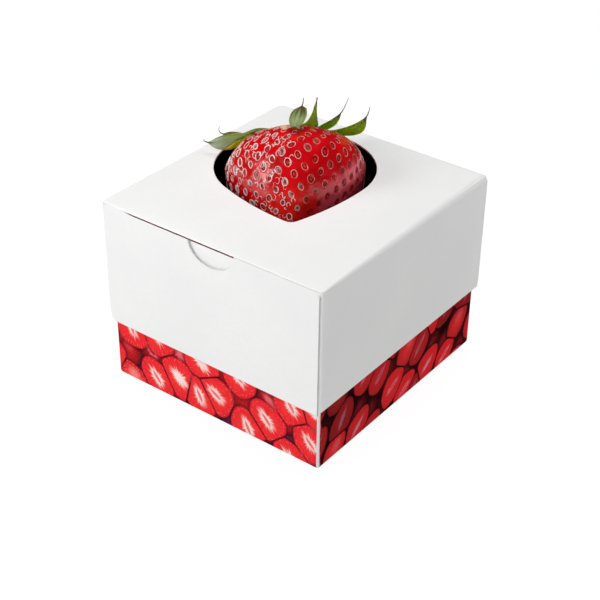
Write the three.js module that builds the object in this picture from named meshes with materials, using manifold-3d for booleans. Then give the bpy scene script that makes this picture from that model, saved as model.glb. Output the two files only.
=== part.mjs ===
// A strawberry gift box: a printed card tray, a white card lid with an egg-shaped window,
// a black insert inside, and one large strawberry that stands up through the window.
// Millimetres, +Z up. The origin is the centre of the tray's underside.
// The thumb notch of the lid is on the -Y side, and the fruit's crown leans to the back left.

import * as THREE from 'three';
import { mergeVertices } from 'three/addons/utils/BufferGeometryUtils.js';
import Module from 'manifold-3d';

// ---------------------------------------------------------------- driving dimensions

const CARD = 0.6; // thickness of the card
const AIR = 0.3; // smallest gap between two separate pieces
const PAST = 1; // how far a cutting shape runs past what it cuts
const DEGREE = Math.PI / 180;

const LID = {
  width: 85,
  depth: 90,
  top: 65,
  frontWallBottom: 21.2,
  sideWallBottom: 22.6,
  foldRadius: 0.8,
  cornerRadius: 0.7,
  cornerCut: { along: 1.6, up: 3.2 },
};

// The window's outline: a big circle, a small one towards the front right corner, and two
// shallow arcs that join them.
const WINDOW = {
  big: { x: -9.6, y: 10.5, radius: 26.4 },
  tip: { x: 9.7, y: -16.8, radius: 3 },
  flankRadius: 90,
};

const NOTCH = { x: 1.5, halfWidth: 8.8, depth: 7.5 };
const SLIT = { from: -34, to: 10.4, height: 0.35 };
const TUCK = { halfWidth: 37, bottom: 50.5, cornerRadius: 7, behindWall: 0.35 };

const TRAY = { inset: 1.1, top: 48, foldRadius: 0.9, cornerRadius: 1.1 };

const INSERT = { ledge: 47, wellGrow: 1.8, seatGap: 0.35 };

const FRUIT = {
  centre: [-9.5, 10.4, 64],
  leanTowards: 130, // compass angle of the crown's lean, from +X
  lean: 37,
  radius: 23,
  tipLength: 37,
  shoulder: 14,
  tipPowers: [1.75, 0.9], // how the outline below the widest ring bulges
  shoulderPower: 1.95, // 2 would be an ellipse
  crownDimple: { depth: 2.6, radius: 4.6 },
  ridge: { height: 0.022, turn: -76, twistPerMm: 2.2 },
};

const SEED = {
  places: 430, // places of the seeds' spiral over the whole fruit
  taken: 2, // every second place has a seed
  length: 2.1,
  width: 1.4,
  proud: 0.42,
  lowest: 51, // height above the floor where the visible seeds begin
  crownClear: 8.5, // bare ring round the hub of the calyx
};

const HUB = { radius: 3.2, height: 2.5, stalkRadius: 1.1, stalkLength: 1.5 };

const LEAF = {
  thickness: 0.5,
  hairWidth: 0.5,
  hairTaper: 0.3, // part of its width that a hair loses towards its end
  hairLead: 0.15, // how far a hair runs straight on from its blade
  rootSwell: 0.07, // how far a blade has widened where it leaves the hub
  ripple: 0.18,
  ripplesPerBlade: 9,
};

// How finely the curved pieces are divided.
const STEPS = {
  boxCorner: 4,
  fold: 3,
  window: 12,
  well: 8,
  notch: 8,
  tuckCorner: 3,
  fruitAround: 44,
  fruitBelow: 14,
  fruitAbove: 10,
  seedAround: 5,
  seedAlong: 3,
  hubAround: 10,
  bladeAlong: 8,
  bladeAcross: 3,
  hairAlong: 2,
};

// The sepals, in the fruit's own frame: +Z up its axis from the widest ring, +X to the right
// and +Y backwards as it leans. A blade follows a cubic curve from the hub, and a dry hair
// runs on from its end. Roll turns the end of the blade about its own length, in degrees,
// cup bends its edges, skew moves its widest place on and fullness makes its outline slimmer.
const SEPALS = [
  { root: [-2.3, 0.9, 13.2], bend: [-16.8, 13.5, 17.3], turn: [-21.1, 0.9, 6.8],
    end: [-28.7, 5.7, 10.2], hair: [-29.4, 5.7, 11.2],
    width: 4.9, roll: 95, cup: -0.1, skew: 2.34, fullness: 1.38 },
  { root: [-2.4, 0.7, 13.1], bend: [-5.8, 8.6, 15.6], turn: [-16.3, 5.2, 11.6],
    end: [-22.8, 1.1, 6.6], hair: [-23.1, 1.1, 6.6],
    width: 4.5, roll: 11, cup: -0.3, skew: 3.48, fullness: 1.38 },
  { root: [-2.6, 0.8, 13.1], bend: [-8.7, 8, 15.8], turn: [-10.2, 7.8, 9.4],
    end: [-23.3, 12.4, 14.1], hair: [-24.3, 12.3, 16.4],
    width: 9.3, roll: -31, cup: 0.1, skew: 3.97, fullness: 0.65 },
  { root: [-2.2, 1.3, 13], bend: [-5.3, 5, 14.2], turn: [-2.9, 7.9, 13.9],
    end: [-17.3, 8.8, 13.4], hair: [-17.7, 8.8, 13.3],
    width: 6.5, roll: 19, cup: 0.1, skew: 3.76, fullness: 1.43 },
  { root: [0, -2.2, 13.4], bend: [3.7, -17.5, 18.3], turn: [-4, -25.4, 0.8],
    end: [1.9, -13.4, 17.8], hair: [2.3, -13.6, 20.3],
    width: 5.5, roll: -25, cup: -0.3, skew: 7.59, fullness: 0.5 },
  { root: [1.8, 1.7, 13], bend: [2.8, 1.1, 15.2], turn: [6.7, -1.9, 9.4],
    end: [7.2, -3.3, 21.5], hair: [7.5, -3.3, 21.9],
    width: 10.5, roll: 26, cup: 0.5, skew: 0.96, fullness: 0.9 },
  { root: [2.4, 1.1, 13.4], bend: [0.3, 8.9, 15.8], turn: [8, 8.3, 10.3],
    end: [15.2, -0.5, 18.1], hair: [17.7, -1, 22.9],
    width: 6.8, roll: -16, cup: -0.1, skew: 3.07, fullness: 1.16 },
  { root: [2.3, 0.6, 13.6], bend: [5, 10.9, 16.5], turn: [18.6, 4.3, 7.3],
    end: [22.4, -12.5, 14.5], hair: [23.5, -12.7, 17.5],
    width: 7.1, roll: -27, cup: 0.1, skew: 2.09, fullness: 1.2 },
  { root: [1.5, 1.9, 13.2], bend: [5.6, 7.2, 15.3], turn: [9.6, 12.3, 11.9],
    end: [12.4, 15.9, 8.4], hair: [13, 16.6, 7.7],
    width: 6.8, roll: 6, cup: 0.8, skew: 0.85, fullness: 0.8 },
  { root: [0.1, 2.4, 13.1], bend: [0.3, 9.1, 15.3], turn: [0.5, 15.8, 12],
    end: [0.7, 21.2, 7.1], hair: [0.7, 22.3, 6.1],
    width: 7.4, roll: -8, cup: 0.8, skew: 0.85, fullness: 0.8 },
  { root: [-1.3, 2, 13.2], bend: [-5.1, 7.6, 15.3], turn: [-8.8, 13, 11.8],
    end: [-11.3, 16.8, 7.8], hair: [-11.8, 17.6, 7],
    width: 6.6, roll: 8, cup: 0.8, skew: 0.85, fullness: 0.8 },
];

const COLOUR = {
  lid: 0xf2f2f0,
  tray: 0xc3122a,
  insert: 0x0b0b0b,
  fruit: 0xc81019,
  calyx: 0x5f7f2a,
};

// ---------------------------------------------------------------- solids

const wasm = await Module();
wasm.setup();

function toSolid(geometry) {
  const bare = geometry.index ? geometry.toNonIndexed() : geometry.clone();
  bare.deleteAttribute('normal');
  bare.deleteAttribute('uv');
  const merged = mergeVertices(bare, 1e-5);
  return new wasm.Manifold(new wasm.Mesh({
    numProp: 3,
    vertProperties: new Float32Array(merged.attributes.position.array),
    triVerts: new Uint32Array(merged.index.array),
  }));
}

// The largest connected body of a solid, without loose scraps and sealed hollows.
function wholePiece(solid) {
  return solid.decompose().sort((a, b) => b.volume() - a.volume())[0];
}

function toMesh(name, solid, color, roughness) {
  const source = solid.getMesh();
  const geometry = new THREE.BufferGeometry();
  const positions = new THREE.BufferAttribute(new Float32Array(source.vertProperties), 3);
  geometry.setAttribute('position', positions);
  geometry.setIndex(new THREE.BufferAttribute(new Uint32Array(source.triVerts), 1));
  geometry.computeVertexNormals();
  const material = new THREE.MeshStandardMaterial({ color, roughness, metalness: 0 });
  const mesh = new THREE.Mesh(geometry, material);
  mesh.name = name;
  return mesh;
}

// A closed body through rings of equally many points, each ring counter-clockwise seen from
// the end where the list stops. The ends are fans round the given or the mean point.
function loft(rings, firstTip, lastTip) {
  const count = rings[0].length;
  const middle = (ring) => ring
    .reduce((sum, p) => sum.add(p), new THREE.Vector3())
    .divideScalar(count);
  const corners = [];
  const face = (a, b, c) => corners.push(...a.toArray(), ...b.toArray(), ...c.toArray());
  const start = firstTip ?? middle(rings[0]);
  const finish = lastTip ?? middle(rings[rings.length - 1]);
  for (let i = 0; i < count; i += 1) {
    const next = (i + 1) % count;
    face(start, rings[0][next], rings[0][i]);
    face(finish, rings[rings.length - 1][i], rings[rings.length - 1][next]);
    for (let k = 0; k + 1 < rings.length; k += 1) {
      face(rings[k][i], rings[k][next], rings[k + 1][next]);
      face(rings[k][i], rings[k + 1][next], rings[k + 1][i]);
    }
  }
  const geometry = new THREE.BufferGeometry();
  geometry.setAttribute('position', new THREE.Float32BufferAttribute(corners, 3));
  return geometry;
}

function roundedRectangle(width, depth, radius, z) {
  const steps = STEPS.boxCorner;
  const points = [];
  for (let corner = 0; corner < 4; corner += 1) {
    const sx = corner === 0 || corner === 3 ? 1 : -1;
    const sy = corner < 2 ? 1 : -1;
    for (let i = 0; i <= steps; i += 1) {
      const angle = (corner + i / steps) * 90 * DEGREE;
      const x = sx * (width / 2 - radius) + radius * Math.cos(angle);
      const y = sy * (depth / 2 - radius) + radius * Math.sin(angle);
      points.push(new THREE.Vector3(x, y, z));
    }
  }
  return points;
}

// A block with round upright edges, and a rounded fold along its top or bottom rim.
function foldedBlock(width, depth, bottom, top, cornerRadius, fold = {}) {
  const steps = STEPS.fold;
  const rings = [];
  const ring = (inset, z) => rings.push(
    roundedRectangle(width - 2 * inset, depth - 2 * inset, cornerRadius, z),
  );
  for (let i = 0; fold.bottom && i < steps; i += 1) {
    const angle = (i / steps) * 90 * DEGREE;
    ring(fold.bottom * (1 - Math.sin(angle)), bottom + fold.bottom * (1 - Math.cos(angle)));
  }
  ring(0, bottom + (fold.bottom ?? 0));
  ring(0, top - (fold.top ?? 0));
  for (let i = 1; fold.top && i <= steps; i += 1) {
    const angle = (i / steps) * 90 * DEGREE;
    ring(fold.top * (1 - Math.cos(angle)), top - fold.top * (1 - Math.sin(angle)));
  }
  return toSolid(loft(rings));
}

function box(x0, x1, y0, y1, z0, z1) {
  const geometry = new THREE.BoxGeometry(x1 - x0, y1 - y0, z1 - z0);
  geometry.translate((x0 + x1) / 2, (y0 + y1) / 2, (z0 + z1) / 2);
  return toSolid(geometry);
}

// Extrudes an outline that is drawn in X and Z, from the plane y = front back to y = back.
function upright(shape, front, back, curveSegments) {
  const depth = back - front;
  const geometry = new THREE.ExtrudeGeometry(shape, { depth, bevelEnabled: false, curveSegments });
  geometry.rotateX(90 * DEGREE);
  geometry.translate(0, back, 0);
  return toSolid(geometry);
}

// ---------------------------------------------------------------- lid

function windowShape(grow) {
  const { big, tip, flankRadius } = WINDOW;
  const span = Math.hypot(tip.x - big.x, tip.y - big.y);
  const heading = Math.atan2(tip.y - big.y, tip.x - big.x);
  // Centre of a flank arc that touches both circles from outside them, in the frame whose
  // first axis runs from the big circle to the small one.
  const fromBig = flankRadius - big.radius;
  const fromTip = flankRadius - tip.radius;
  const along = (fromBig ** 2 - fromTip ** 2 + span ** 2) / (2 * span);
  const aside = Math.sqrt(fromBig ** 2 - along ** 2);
  const bigTurn = Math.atan2(aside, -along);
  const tipTurn = Math.atan2(aside, span - along);
  const flank = (side) => ({
    x: big.x + along * Math.cos(heading) + side * aside * Math.sin(heading),
    y: big.y + along * Math.sin(heading) - side * aside * Math.cos(heading),
  });
  const left = flank(1);
  const right = flank(-1);
  const shape = new THREE.Shape();
  shape.absarc(big.x, big.y, big.radius + grow, heading + bigTurn, heading - bigTurn + 2 * Math.PI);
  shape.absarc(right.x, right.y, flankRadius + grow, heading - bigTurn, heading - tipTurn);
  shape.absarc(tip.x, tip.y, tip.radius + grow, heading - tipTurn, heading + tipTurn);
  shape.absarc(left.x, left.y, flankRadius + grow, heading + tipTurn, heading + bigTurn);
  return shape;
}

function windowCut(grow, bottom, top, curveSegments) {
  const geometry = new THREE.ExtrudeGeometry(windowShape(grow), {
    depth: top - bottom,
    bevelEnabled: false,
    curveSegments,
  });
  geometry.translate(0, 0, bottom);
  return toSolid(geometry);
}

function notchCut() {
  const shape = new THREE.Shape();
  const brow = LID.top - CARD;
  const depth = NOTCH.depth - CARD;
  shape.absellipse(NOTCH.x, brow, NOTCH.halfWidth, depth, Math.PI, 2 * Math.PI);
  shape.closePath();
  const wall = -LID.depth / 2;
  return upright(shape, wall - PAST, wall + CARD + AIR / 2, STEPS.notch);
}

// The tuck flap of the top panel, behind the front wall.
function tuckFlap() {
  const { halfWidth, bottom, cornerRadius, behindWall } = TUCK;
  const brow = LID.top - CARD / 2;
  const shape = new THREE.Shape();
  shape.moveTo(halfWidth, brow);
  shape.lineTo(-halfWidth, brow);
  shape.lineTo(-halfWidth, bottom + cornerRadius);
  const round = [bottom + cornerRadius, cornerRadius];
  shape.absarc(-halfWidth + cornerRadius, ...round, Math.PI, 1.5 * Math.PI);
  shape.absarc(halfWidth - cornerRadius, ...round, 1.5 * Math.PI, 2 * Math.PI);
  const front = -LID.depth / 2 + CARD + behindWall;
  return upright(shape, front, front + CARD, STEPS.tuckCorner);
}

// Triangles cut off the walls' lower corners, through both walls, on all corners but the front one.
function cornerCuts() {
  const { along, up } = LID.cornerCut;
  return [[1, 1], [-1, 1], [-1, -1]].map(([sx, sy]) => {
    const x = sx * LID.width / 2;
    const y = sy * LID.depth / 2;
    const low = LID.frontWallBottom - PAST;
    const ring = (reach, z) => [
      new THREE.Vector3(x + sx * PAST, y + sy * PAST, z),
      new THREE.Vector3(x - sx * reach, y + sy * PAST, z),
      new THREE.Vector3(x - sx * reach, y - sy * reach, z),
      new THREE.Vector3(x + sx * PAST, y - sy * reach, z),
    ];
    const rise = (z) => Math.max(along * (1 - (z - LID.frontWallBottom) / up), 0.02);
    const high = LID.frontWallBottom + up;
    const rings = [ring(rise(low), low), ring(rise(high), high)];
    if (sx * sy < 0) rings.forEach((r) => r.reverse());
    return toSolid(loft(rings));
  });
}

function makeLid() {
  const { width, depth, top, frontWallBottom, sideWallBottom, foldRadius, cornerRadius } = LID;
  const inside = cornerRadius * 0.5;
  let lid = foldedBlock(width, depth, frontWallBottom, top, cornerRadius, { top: foldRadius });
  const hollow = [width - 2 * CARD, depth - 2 * CARD, frontWallBottom - PAST, top - CARD];
  lid = lid.subtract(foldedBlock(...hollow, inside));
  lid = lid.subtract(windowCut(0, top - CARD - PAST, top + PAST, STEPS.window));
  const wallReach = depth / 2 - CARD;
  for (const side of [-1, 1]) {
    const middle = side * (width / 2 - CARD / 2);
    const under = [-wallReach, wallReach, frontWallBottom - PAST, sideWallBottom];
    lid = lid.subtract(box(middle - PAST, middle + PAST, ...under));
  }
  for (const cut of cornerCuts()) lid = lid.subtract(cut);
  lid = lid.subtract(notchCut());
  const slitTop = top - CARD;
  const wall = -depth / 2;
  const throughWall = [wall - PAST, wall + CARD + AIR / 2];
  lid = lid.subtract(box(SLIT.from, SLIT.to, ...throughWall, slitTop - SLIT.height, slitTop));
  return lid.add(tuckFlap());
}

// ---------------------------------------------------------------- tray and insert

const trayOuter = { width: LID.width - 2 * TRAY.inset, depth: LID.depth - 2 * TRAY.inset };

function makeTray() {
  const { width, depth } = trayOuter;
  const { top, foldRadius, cornerRadius } = TRAY;
  const outer = foldedBlock(width, depth, 0, top, cornerRadius, { bottom: foldRadius });
  const inner = foldedBlock(width - 2 * CARD, depth - 2 * CARD, CARD, top + PAST, cornerRadius / 2);
  return outer.subtract(inner);
}

function makeInsert(fruitSeat) {
  const side = 2 * (CARD + AIR);
  const top = LID.top - CARD - AIR;
  const plan = [trayOuter.width - side, trayOuter.depth - side];
  const block = foldedBlock(...plan, CARD + AIR, top, TRAY.cornerRadius);
  const well = windowCut(INSERT.wellGrow, INSERT.ledge, top + PAST, STEPS.well);
  return block.subtract(well).subtract(fruitSeat);
}

// ---------------------------------------------------------------- fruit

// Radius of the fruit at a height above its widest ring, before the crown's dimple.
function fruitRadius(height) {
  const { radius, tipLength, shoulder, tipPowers, shoulderPower } = FRUIT;
  if (height < 0) {
    const drop = Math.min(-height / tipLength, 1);
    return radius * (1 - drop ** tipPowers[0]) ** tipPowers[1];
  }
  return radius * Math.max(1 - (height / shoulder) ** shoulderPower, 0) ** (1 / shoulderPower);
}

// A point of the skin: three shallow lobes round the fruit, and a dimple in its crown.
function skinPoint(height, turn) {
  const { ridge, crownDimple, shoulder, tipLength } = FRUIT;
  const fade = 1 - (height / (height < 0 ? tipLength : shoulder)) ** 2;
  const lobe = Math.cos(3 * (turn - (ridge.turn + ridge.twistPerMm * height) * DEGREE));
  const radius = fruitRadius(height) * (1 + ridge.height * fade * lobe);
  const dimple = height > 0 ? crownDimple.depth * Math.exp(-((radius / crownDimple.radius) ** 2)) : 0;
  return new THREE.Vector3(radius * Math.cos(turn), radius * Math.sin(turn), height - dimple);
}

function skinNormal(height, turn) {
  const step = 0.05;
  const up = skinPoint(height + step, turn).sub(skinPoint(height - step, turn));
  const round = skinPoint(height, turn + 0.01).sub(skinPoint(height, turn - 0.01));
  return round.cross(up).normalize();
}

// Heights of the skin's rings, closer together towards the tip and the crown.
function fruitHeights() {
  const heights = [];
  const crowding = 1.35;
  for (let i = 1; i <= STEPS.fruitBelow; i += 1) {
    heights.push(-FRUIT.tipLength * (1 - (i / (STEPS.fruitBelow + 1)) ** crowding));
  }
  for (let i = 0; i <= STEPS.fruitAbove; i += 1) {
    heights.push(FRUIT.shoulder * Math.sin((i / (STEPS.fruitAbove + 0.5)) * 90 * DEGREE));
  }
  return heights;
}

// The fruit without its seeds, grown outwards all over by a distance.
function fruitBody(grow) {
  const rings = fruitHeights().map((height) => {
    const ring = [];
    for (let i = 0; i < STEPS.fruitAround; i += 1) {
      const turn = (i / STEPS.fruitAround) * 2 * Math.PI;
      ring.push(skinPoint(height, turn).addScaledVector(skinNormal(height, turn), grow));
    }
    return ring;
  });
  const tip = new THREE.Vector3(0, 0, -FRUIT.tipLength - grow);
  const crown = new THREE.Vector3(0, 0, FRUIT.shoulder - FRUIT.crownDimple.depth + grow);
  return toSolid(loft(rings, tip, crown));
}

// From the fruit's own frame, with its axis along +Z, to the box's frame.
const fruitPlace = new THREE.Matrix4()
  .makeTranslation(...FRUIT.centre)
  .multiply(new THREE.Matrix4().makeRotationZ((FRUIT.leanTowards - 90) * DEGREE))
  .multiply(new THREE.Matrix4().makeRotationX(-FRUIT.lean * DEGREE));

// Heights that split the skin into bands of equal area, for the seeds' spiral.
function spiralHeights(count) {
  const samples = 600;
  const low = -FRUIT.tipLength;
  const span = FRUIT.tipLength + FRUIT.shoulder;
  const areas = [0];
  for (let i = 1; i <= samples; i += 1) {
    const a = low + (span * (i - 1)) / samples;
    const b = low + (span * i) / samples;
    const slant = Math.hypot(b - a, fruitRadius(b) - fruitRadius(a));
    areas.push(areas[i - 1] + slant * (fruitRadius(a) + fruitRadius(b)));
  }
  const heights = [];
  let at = 0;
  for (let n = 0; n < count; n += 1) {
    const wanted = ((n + 0.5) / count) * areas[samples];
    while (areas[at + 1] < wanted) at += 1;
    const part = (wanted - areas[at]) / (areas[at + 1] - areas[at]);
    heights.push(low + (span * (at + part)) / samples);
  }
  return heights;
}

function seedSolid(height, turn, grow = 0) {
  const normal = skinNormal(height, turn);
  const round = new THREE.Vector3(-Math.sin(turn), Math.cos(turn), 0);
  const along = normal.clone().cross(round).normalize();
  const across = along.clone().cross(normal);
  const geometry = new THREE.SphereGeometry(1, STEPS.seedAround, STEPS.seedAlong);
  geometry.rotateX(90 * DEGREE);
  geometry.scale(SEED.width / 2 + grow, SEED.length / 2 + grow, SEED.proud + grow);
  geometry.applyMatrix4(new THREE.Matrix4()
    .makeBasis(across, along, normal)
    .setPosition(skinPoint(height, turn)));
  return toSolid(geometry);
}

// The fruit's body with its seeds. A seed that would come too near the calyx is left out.
function makeFruit(calyx) {
  const goldenAngle = 180 * (3 - Math.sqrt(5)) * DEGREE;
  const seeds = spiralHeights(SEED.places)
    .map((height, n) => ({ height, turn: n * goldenAngle, n }))
    .filter(({ height, turn, n }) => {
      const at = skinPoint(height, turn);
      const bare = height > 0 && Math.hypot(at.x, at.y) < SEED.crownClear;
      const seen = at.clone().applyMatrix4(fruitPlace).z > SEED.lowest;
      return seen && !bare && n % SEED.taken === 0;
    })
    .filter(({ height, turn }) => seedSolid(height, turn, AIR).intersect(calyx).isEmpty())
    .map(({ height, turn }) => seedSolid(height, turn));
  return wholePiece(wasm.Manifold.union([fruitBody(0), ...seeds]));
}

// ---------------------------------------------------------------- calyx

function bezier(points, t) {
  let row = points.map((p) => new THREE.Vector3(...p));
  while (row.length > 1) row = row.slice(1).map((p, i) => row[i].clone().lerp(p, t));
  return row[0];
}

// Stations along a sepal: the middle line, its heading, and the half width there.
function sepalStations(sepal) {
  const { hairWidth, hairLead, hairTaper, rootSwell } = LEAF;
  const blade = [sepal.root, sepal.bend, sepal.turn, sepal.end];
  const lead = sepal.end.map((value, i) => value + (value - sepal.turn[i]) * hairLead);
  const hair = [sepal.end, lead, sepal.hair];
  const stations = [];
  for (let i = 0; i < STEPS.bladeAlong; i += 1) {
    const t = i / STEPS.bladeAlong;
    const swell = Math.sin(Math.PI * (rootSwell + (1 - rootSwell) * t ** sepal.skew));
    const half = Math.max((sepal.width / 2) * swell ** sepal.fullness, hairWidth / 2);
    stations.push({ at: bezier(blade, t), t, half });
  }
  for (let i = 0; i <= STEPS.hairAlong; i += 1) {
    const t = i / STEPS.hairAlong;
    stations.push({ at: bezier(hair, t), t: 1, half: (hairWidth / 2) * (1 - hairTaper * t) });
  }
  return stations;
}

// A thin wavy leaf. Both faces share one pattern of triangles.
function sepalSolid(sepal) {
  const stations = sepalStations(sepal);
  const root = new THREE.Vector3(...sepal.root);
  const outward = new THREE.Vector3(...sepal.end).sub(root).setZ(0).normalize();
  const flatAcross = new THREE.Vector3(-outward.y, outward.x, 0);
  const rings = stations.map(({ at, t, half }, i) => {
    const before = stations[Math.max(i - 1, 0)].at;
    const after = stations[Math.min(i + 1, stations.length - 1)].at;
    const heading = after.clone().sub(before).normalize();
    const roll = sepal.roll * t ** 2 * DEGREE;
    const across = flatAcross.clone().addScaledVector(heading, -flatAcross.dot(heading)).normalize();
    across.applyAxisAngle(heading, roll);
    const face = heading.clone().cross(across).normalize();
    const edge = [];
    for (let k = 0; k <= STEPS.bladeAcross; k += 1) {
      const v = (2 * k) / STEPS.bladeAcross - 1;
      const ripple = LEAF.ripple * v * v * Math.sin(LEAF.ripplesPerBlade * t + 2 * v);
      const lift = Math.min(half, 1) * (sepal.cup * v * v + ripple);
      edge.push(at.clone().addScaledVector(across, v * half).addScaledVector(face, lift));
    }
    const above = edge.map((p) => p.clone().addScaledVector(face, LEAF.thickness / 2));
    const below = edge.map((p) => p.clone().addScaledVector(face, -LEAF.thickness / 2));
    return [...below, ...above.reverse()];
  });
  return toSolid(loft(rings));
}

// The sepals meet in a hub that sits in the crown's dimple and carries the stub of the stalk.
function makeCalyx() {
  const foot = FRUIT.shoulder - FRUIT.crownDimple.depth + AIR;
  const { radius, height, stalkRadius, stalkLength } = HUB;
  const profile = [ // a flattened knob that narrows into the stub
    [0, 0],
    [radius * 0.62, height * 0.16],
    [radius, height * 0.42],
    [radius, height * 0.76],
    [stalkRadius * 1.4, height * 0.97],
    [stalkRadius, height * 1.1],
    [stalkRadius * 0.9, height + stalkLength],
    [0, height + stalkLength],
  ].map(([r, z]) => new THREE.Vector2(r, foot + z));
  const hub = new THREE.LatheGeometry(profile, STEPS.hubAround);
  hub.rotateX(90 * DEGREE);
  return wholePiece(wasm.Manifold.union([toSolid(hub), ...SEPALS.map(sepalSolid)]));
}

// ---------------------------------------------------------------- the whole object

const giftBox = new THREE.Group();
giftBox.add(toMesh('tray', makeTray(), COLOUR.tray, 0.45));

const fruitSeat = fruitBody(INSERT.seatGap);
const seatInBox = fruitSeat.transform(fruitPlace.elements);
giftBox.add(toMesh('insert', makeInsert(seatInBox), COLOUR.insert, 0.95));
giftBox.add(toMesh('lid', makeLid(), COLOUR.lid, 0.55));

const fruit = new THREE.Group();
fruit.applyMatrix4(fruitPlace);
const calyx = makeCalyx();
fruit.add(toMesh('strawberry', makeFruit(calyx), COLOUR.fruit, 0.25));
fruit.add(toMesh('calyx', calyx, COLOUR.calyx, 0.6));
giftBox.add(fruit);

export default giftBox;
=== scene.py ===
"""Looks of the strawberry gift box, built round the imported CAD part.

Lengths are in millimetres, apart from those of the lights, the floor and the shaders, in metres."""

import math

import bmesh
import bpy
import numpy as np
from mathutils import Matrix, Vector, kdtree, noise


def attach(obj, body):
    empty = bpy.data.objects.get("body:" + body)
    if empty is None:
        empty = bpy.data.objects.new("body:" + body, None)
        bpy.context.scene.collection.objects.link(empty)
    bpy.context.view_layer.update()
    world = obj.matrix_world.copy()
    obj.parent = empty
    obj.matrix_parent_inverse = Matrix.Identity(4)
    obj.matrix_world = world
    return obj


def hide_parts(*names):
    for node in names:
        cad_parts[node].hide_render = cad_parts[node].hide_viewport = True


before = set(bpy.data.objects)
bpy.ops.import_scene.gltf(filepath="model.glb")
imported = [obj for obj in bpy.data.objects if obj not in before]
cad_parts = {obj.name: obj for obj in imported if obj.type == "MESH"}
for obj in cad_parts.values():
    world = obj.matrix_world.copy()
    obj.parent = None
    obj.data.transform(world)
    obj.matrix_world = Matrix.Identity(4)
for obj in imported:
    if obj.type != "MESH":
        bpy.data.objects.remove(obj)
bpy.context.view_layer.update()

MM = 0.001
RNG = np.random.default_rng(11)

# ---------------------------------------------------------------- sizes shared with the CAD source

CARD = 0.6
LID = dict(width=85, depth=90, top=65, low_y=21.2, low_x=22.6)
WINDOW = dict(big=(-9.6, 10.5, 26.4), tip=(9.7, -16.8, 3.0), flank=90.0)  # circles: x, y, radius
NOTCH = dict(x=1.5, half=8.8, depth=7.5)
SLIT = (-34.0, 10.4)
TUCK = dict(half=37.0, bottom=50.5, corner=7.0, behind=0.35)
TRAY = dict(inset=1.1, top=48.0, fold=0.9, corner=1.1)
FRUIT = dict(
    centre=(-9.5, 10.4, 64.0), towards=130.0, lean=37.0, radius=23.0, tip=37.0,
    shoulder=14.0, powers=(1.75, 0.9), shoulder_power=1.95,
    dimple=(2.6, 4.6), ridge=(0.022, -76.0, 2.2),
)
SEED_PLACES = 430
CROWN_CLEAR = 6.5
HUB = dict(radius=3.2, height=2.5, stalk_radius=1.1, stalk_length=1.5, gap=0.3)
# root, bend, turn, end and hair end of each sepal, in the fruit's own frame,
# then its width, roll at the end, cup, skew and fullness of the outline, and name
SEPALS = [
    ((-2.3, 0.9, 13.2), (-16.8, 13.5, 17.3), (-21.1, 0.9, 6.8), (-28.7, 5.7, 10.2), (-29.4, 5.7, 11.2),
     4.9, 95, -0.1, 2.34, 1.38, "A"),
    ((-2.4, 0.7, 13.1), (-5.8, 8.6, 15.6), (-16.3, 5.2, 11.6), (-22.8, 1.1, 6.6), (-23.1, 1.1, 6.6),
     4.5, 11, -0.3, 3.48, 1.38, "A2"),
    ((-2.6, 0.8, 13.1), (-8.7, 8, 15.8), (-10.2, 7.8, 9.4), (-23.3, 12.4, 14.1), (-24.3, 12.3, 16.4),
     9.3, -31, 0.1, 3.97, 0.65, "B"),
    ((-2.2, 1.3, 13), (-5.3, 5, 14.2), (-2.9, 7.9, 13.9), (-17.3, 8.8, 13.4), (-17.7, 8.8, 13.3),
     6.5, 19, 0.1, 3.76, 1.43, "C"),
    ((0, -2.2, 13.4), (3.7, -17.5, 18.3), (-4, -25.4, 0.8), (1.9, -13.4, 17.8), (2.3, -13.6, 20.3),
     5.5, -25, -0.3, 7.59, 0.5, "D"),
    ((1.8, 1.7, 13), (2.8, 1.1, 15.2), (6.7, -1.9, 9.4), (7.2, -3.3, 21.5), (7.5, -3.3, 21.9),
     10.5, 26, 0.5, 0.96, 0.9, "E"),
    ((2.4, 1.1, 13.4), (0.3, 8.9, 15.8), (8, 8.3, 10.3), (15.2, -0.5, 18.1), (17.7, -1, 22.9),
     6.8, -16, -0.1, 3.07, 1.16, "F"),
    ((2.3, 0.6, 13.6), (5, 10.9, 16.5), (18.6, 4.3, 7.3), (22.4, -12.5, 14.5), (23.5, -12.7, 17.5),
     7.1, -27, 0.1, 2.09, 1.2, "G"),
    ((1.5, 1.9, 13.2), (5.6, 7.2, 15.3), (9.6, 12.3, 11.9), (12.4, 15.9, 8.4), (13, 16.6, 7.7),
     6.8, 6, 0.8, 0.85, 0.8, "H1"),
    ((0.1, 2.4, 13.1), (0.3, 9.1, 15.3), (0.5, 15.8, 12), (0.7, 21.2, 7.1), (0.7, 22.3, 6.1),
     7.4, -8, 0.8, 0.85, 0.8, "H2"),
    ((-1.3, 2, 13.2), (-5.1, 7.6, 15.3), (-8.8, 13, 11.8), (-11.3, 16.8, 7.8), (-11.8, 17.6, 7),
     6.6, 8, 0.8, 0.85, 0.8, "H3"),
]

# ---------------------------------------------------------------- small helpers


def linear(*rgb):
    """An sRGB colour of 0 to 255 as linear numbers."""
    c = np.asarray(rgb, float) / 255
    return np.where(c <= 0.04045, c / 12.92, ((c + 0.055) / 1.055) ** 2.4)


def smooth(x, low, high):
    """A smooth step from 0 at low to 1 at high; low may be the larger number."""
    t = np.clip((np.asarray(x, float) - low) / (high - low), 0, 1)
    return t * t * (3 - 2 * t)


def towards(tone, other, weight):
    """Colours moved part of the way to another."""
    return tone + (other - tone) * np.asarray(weight, float)[..., None]


def unit(vectors):
    return vectors / np.maximum(np.linalg.norm(vectors, axis=-1, keepdims=True), 1e-9)


def circle(count):
    """Equal steps of angle round a circle."""
    return np.arange(count) * 2 * math.pi / count


def arc(x, y, radius, start, end, count):
    angle = np.linspace(start, end, count)
    return np.stack([x + radius * np.cos(angle), y + radius * np.sin(angle)], 1)


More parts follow.
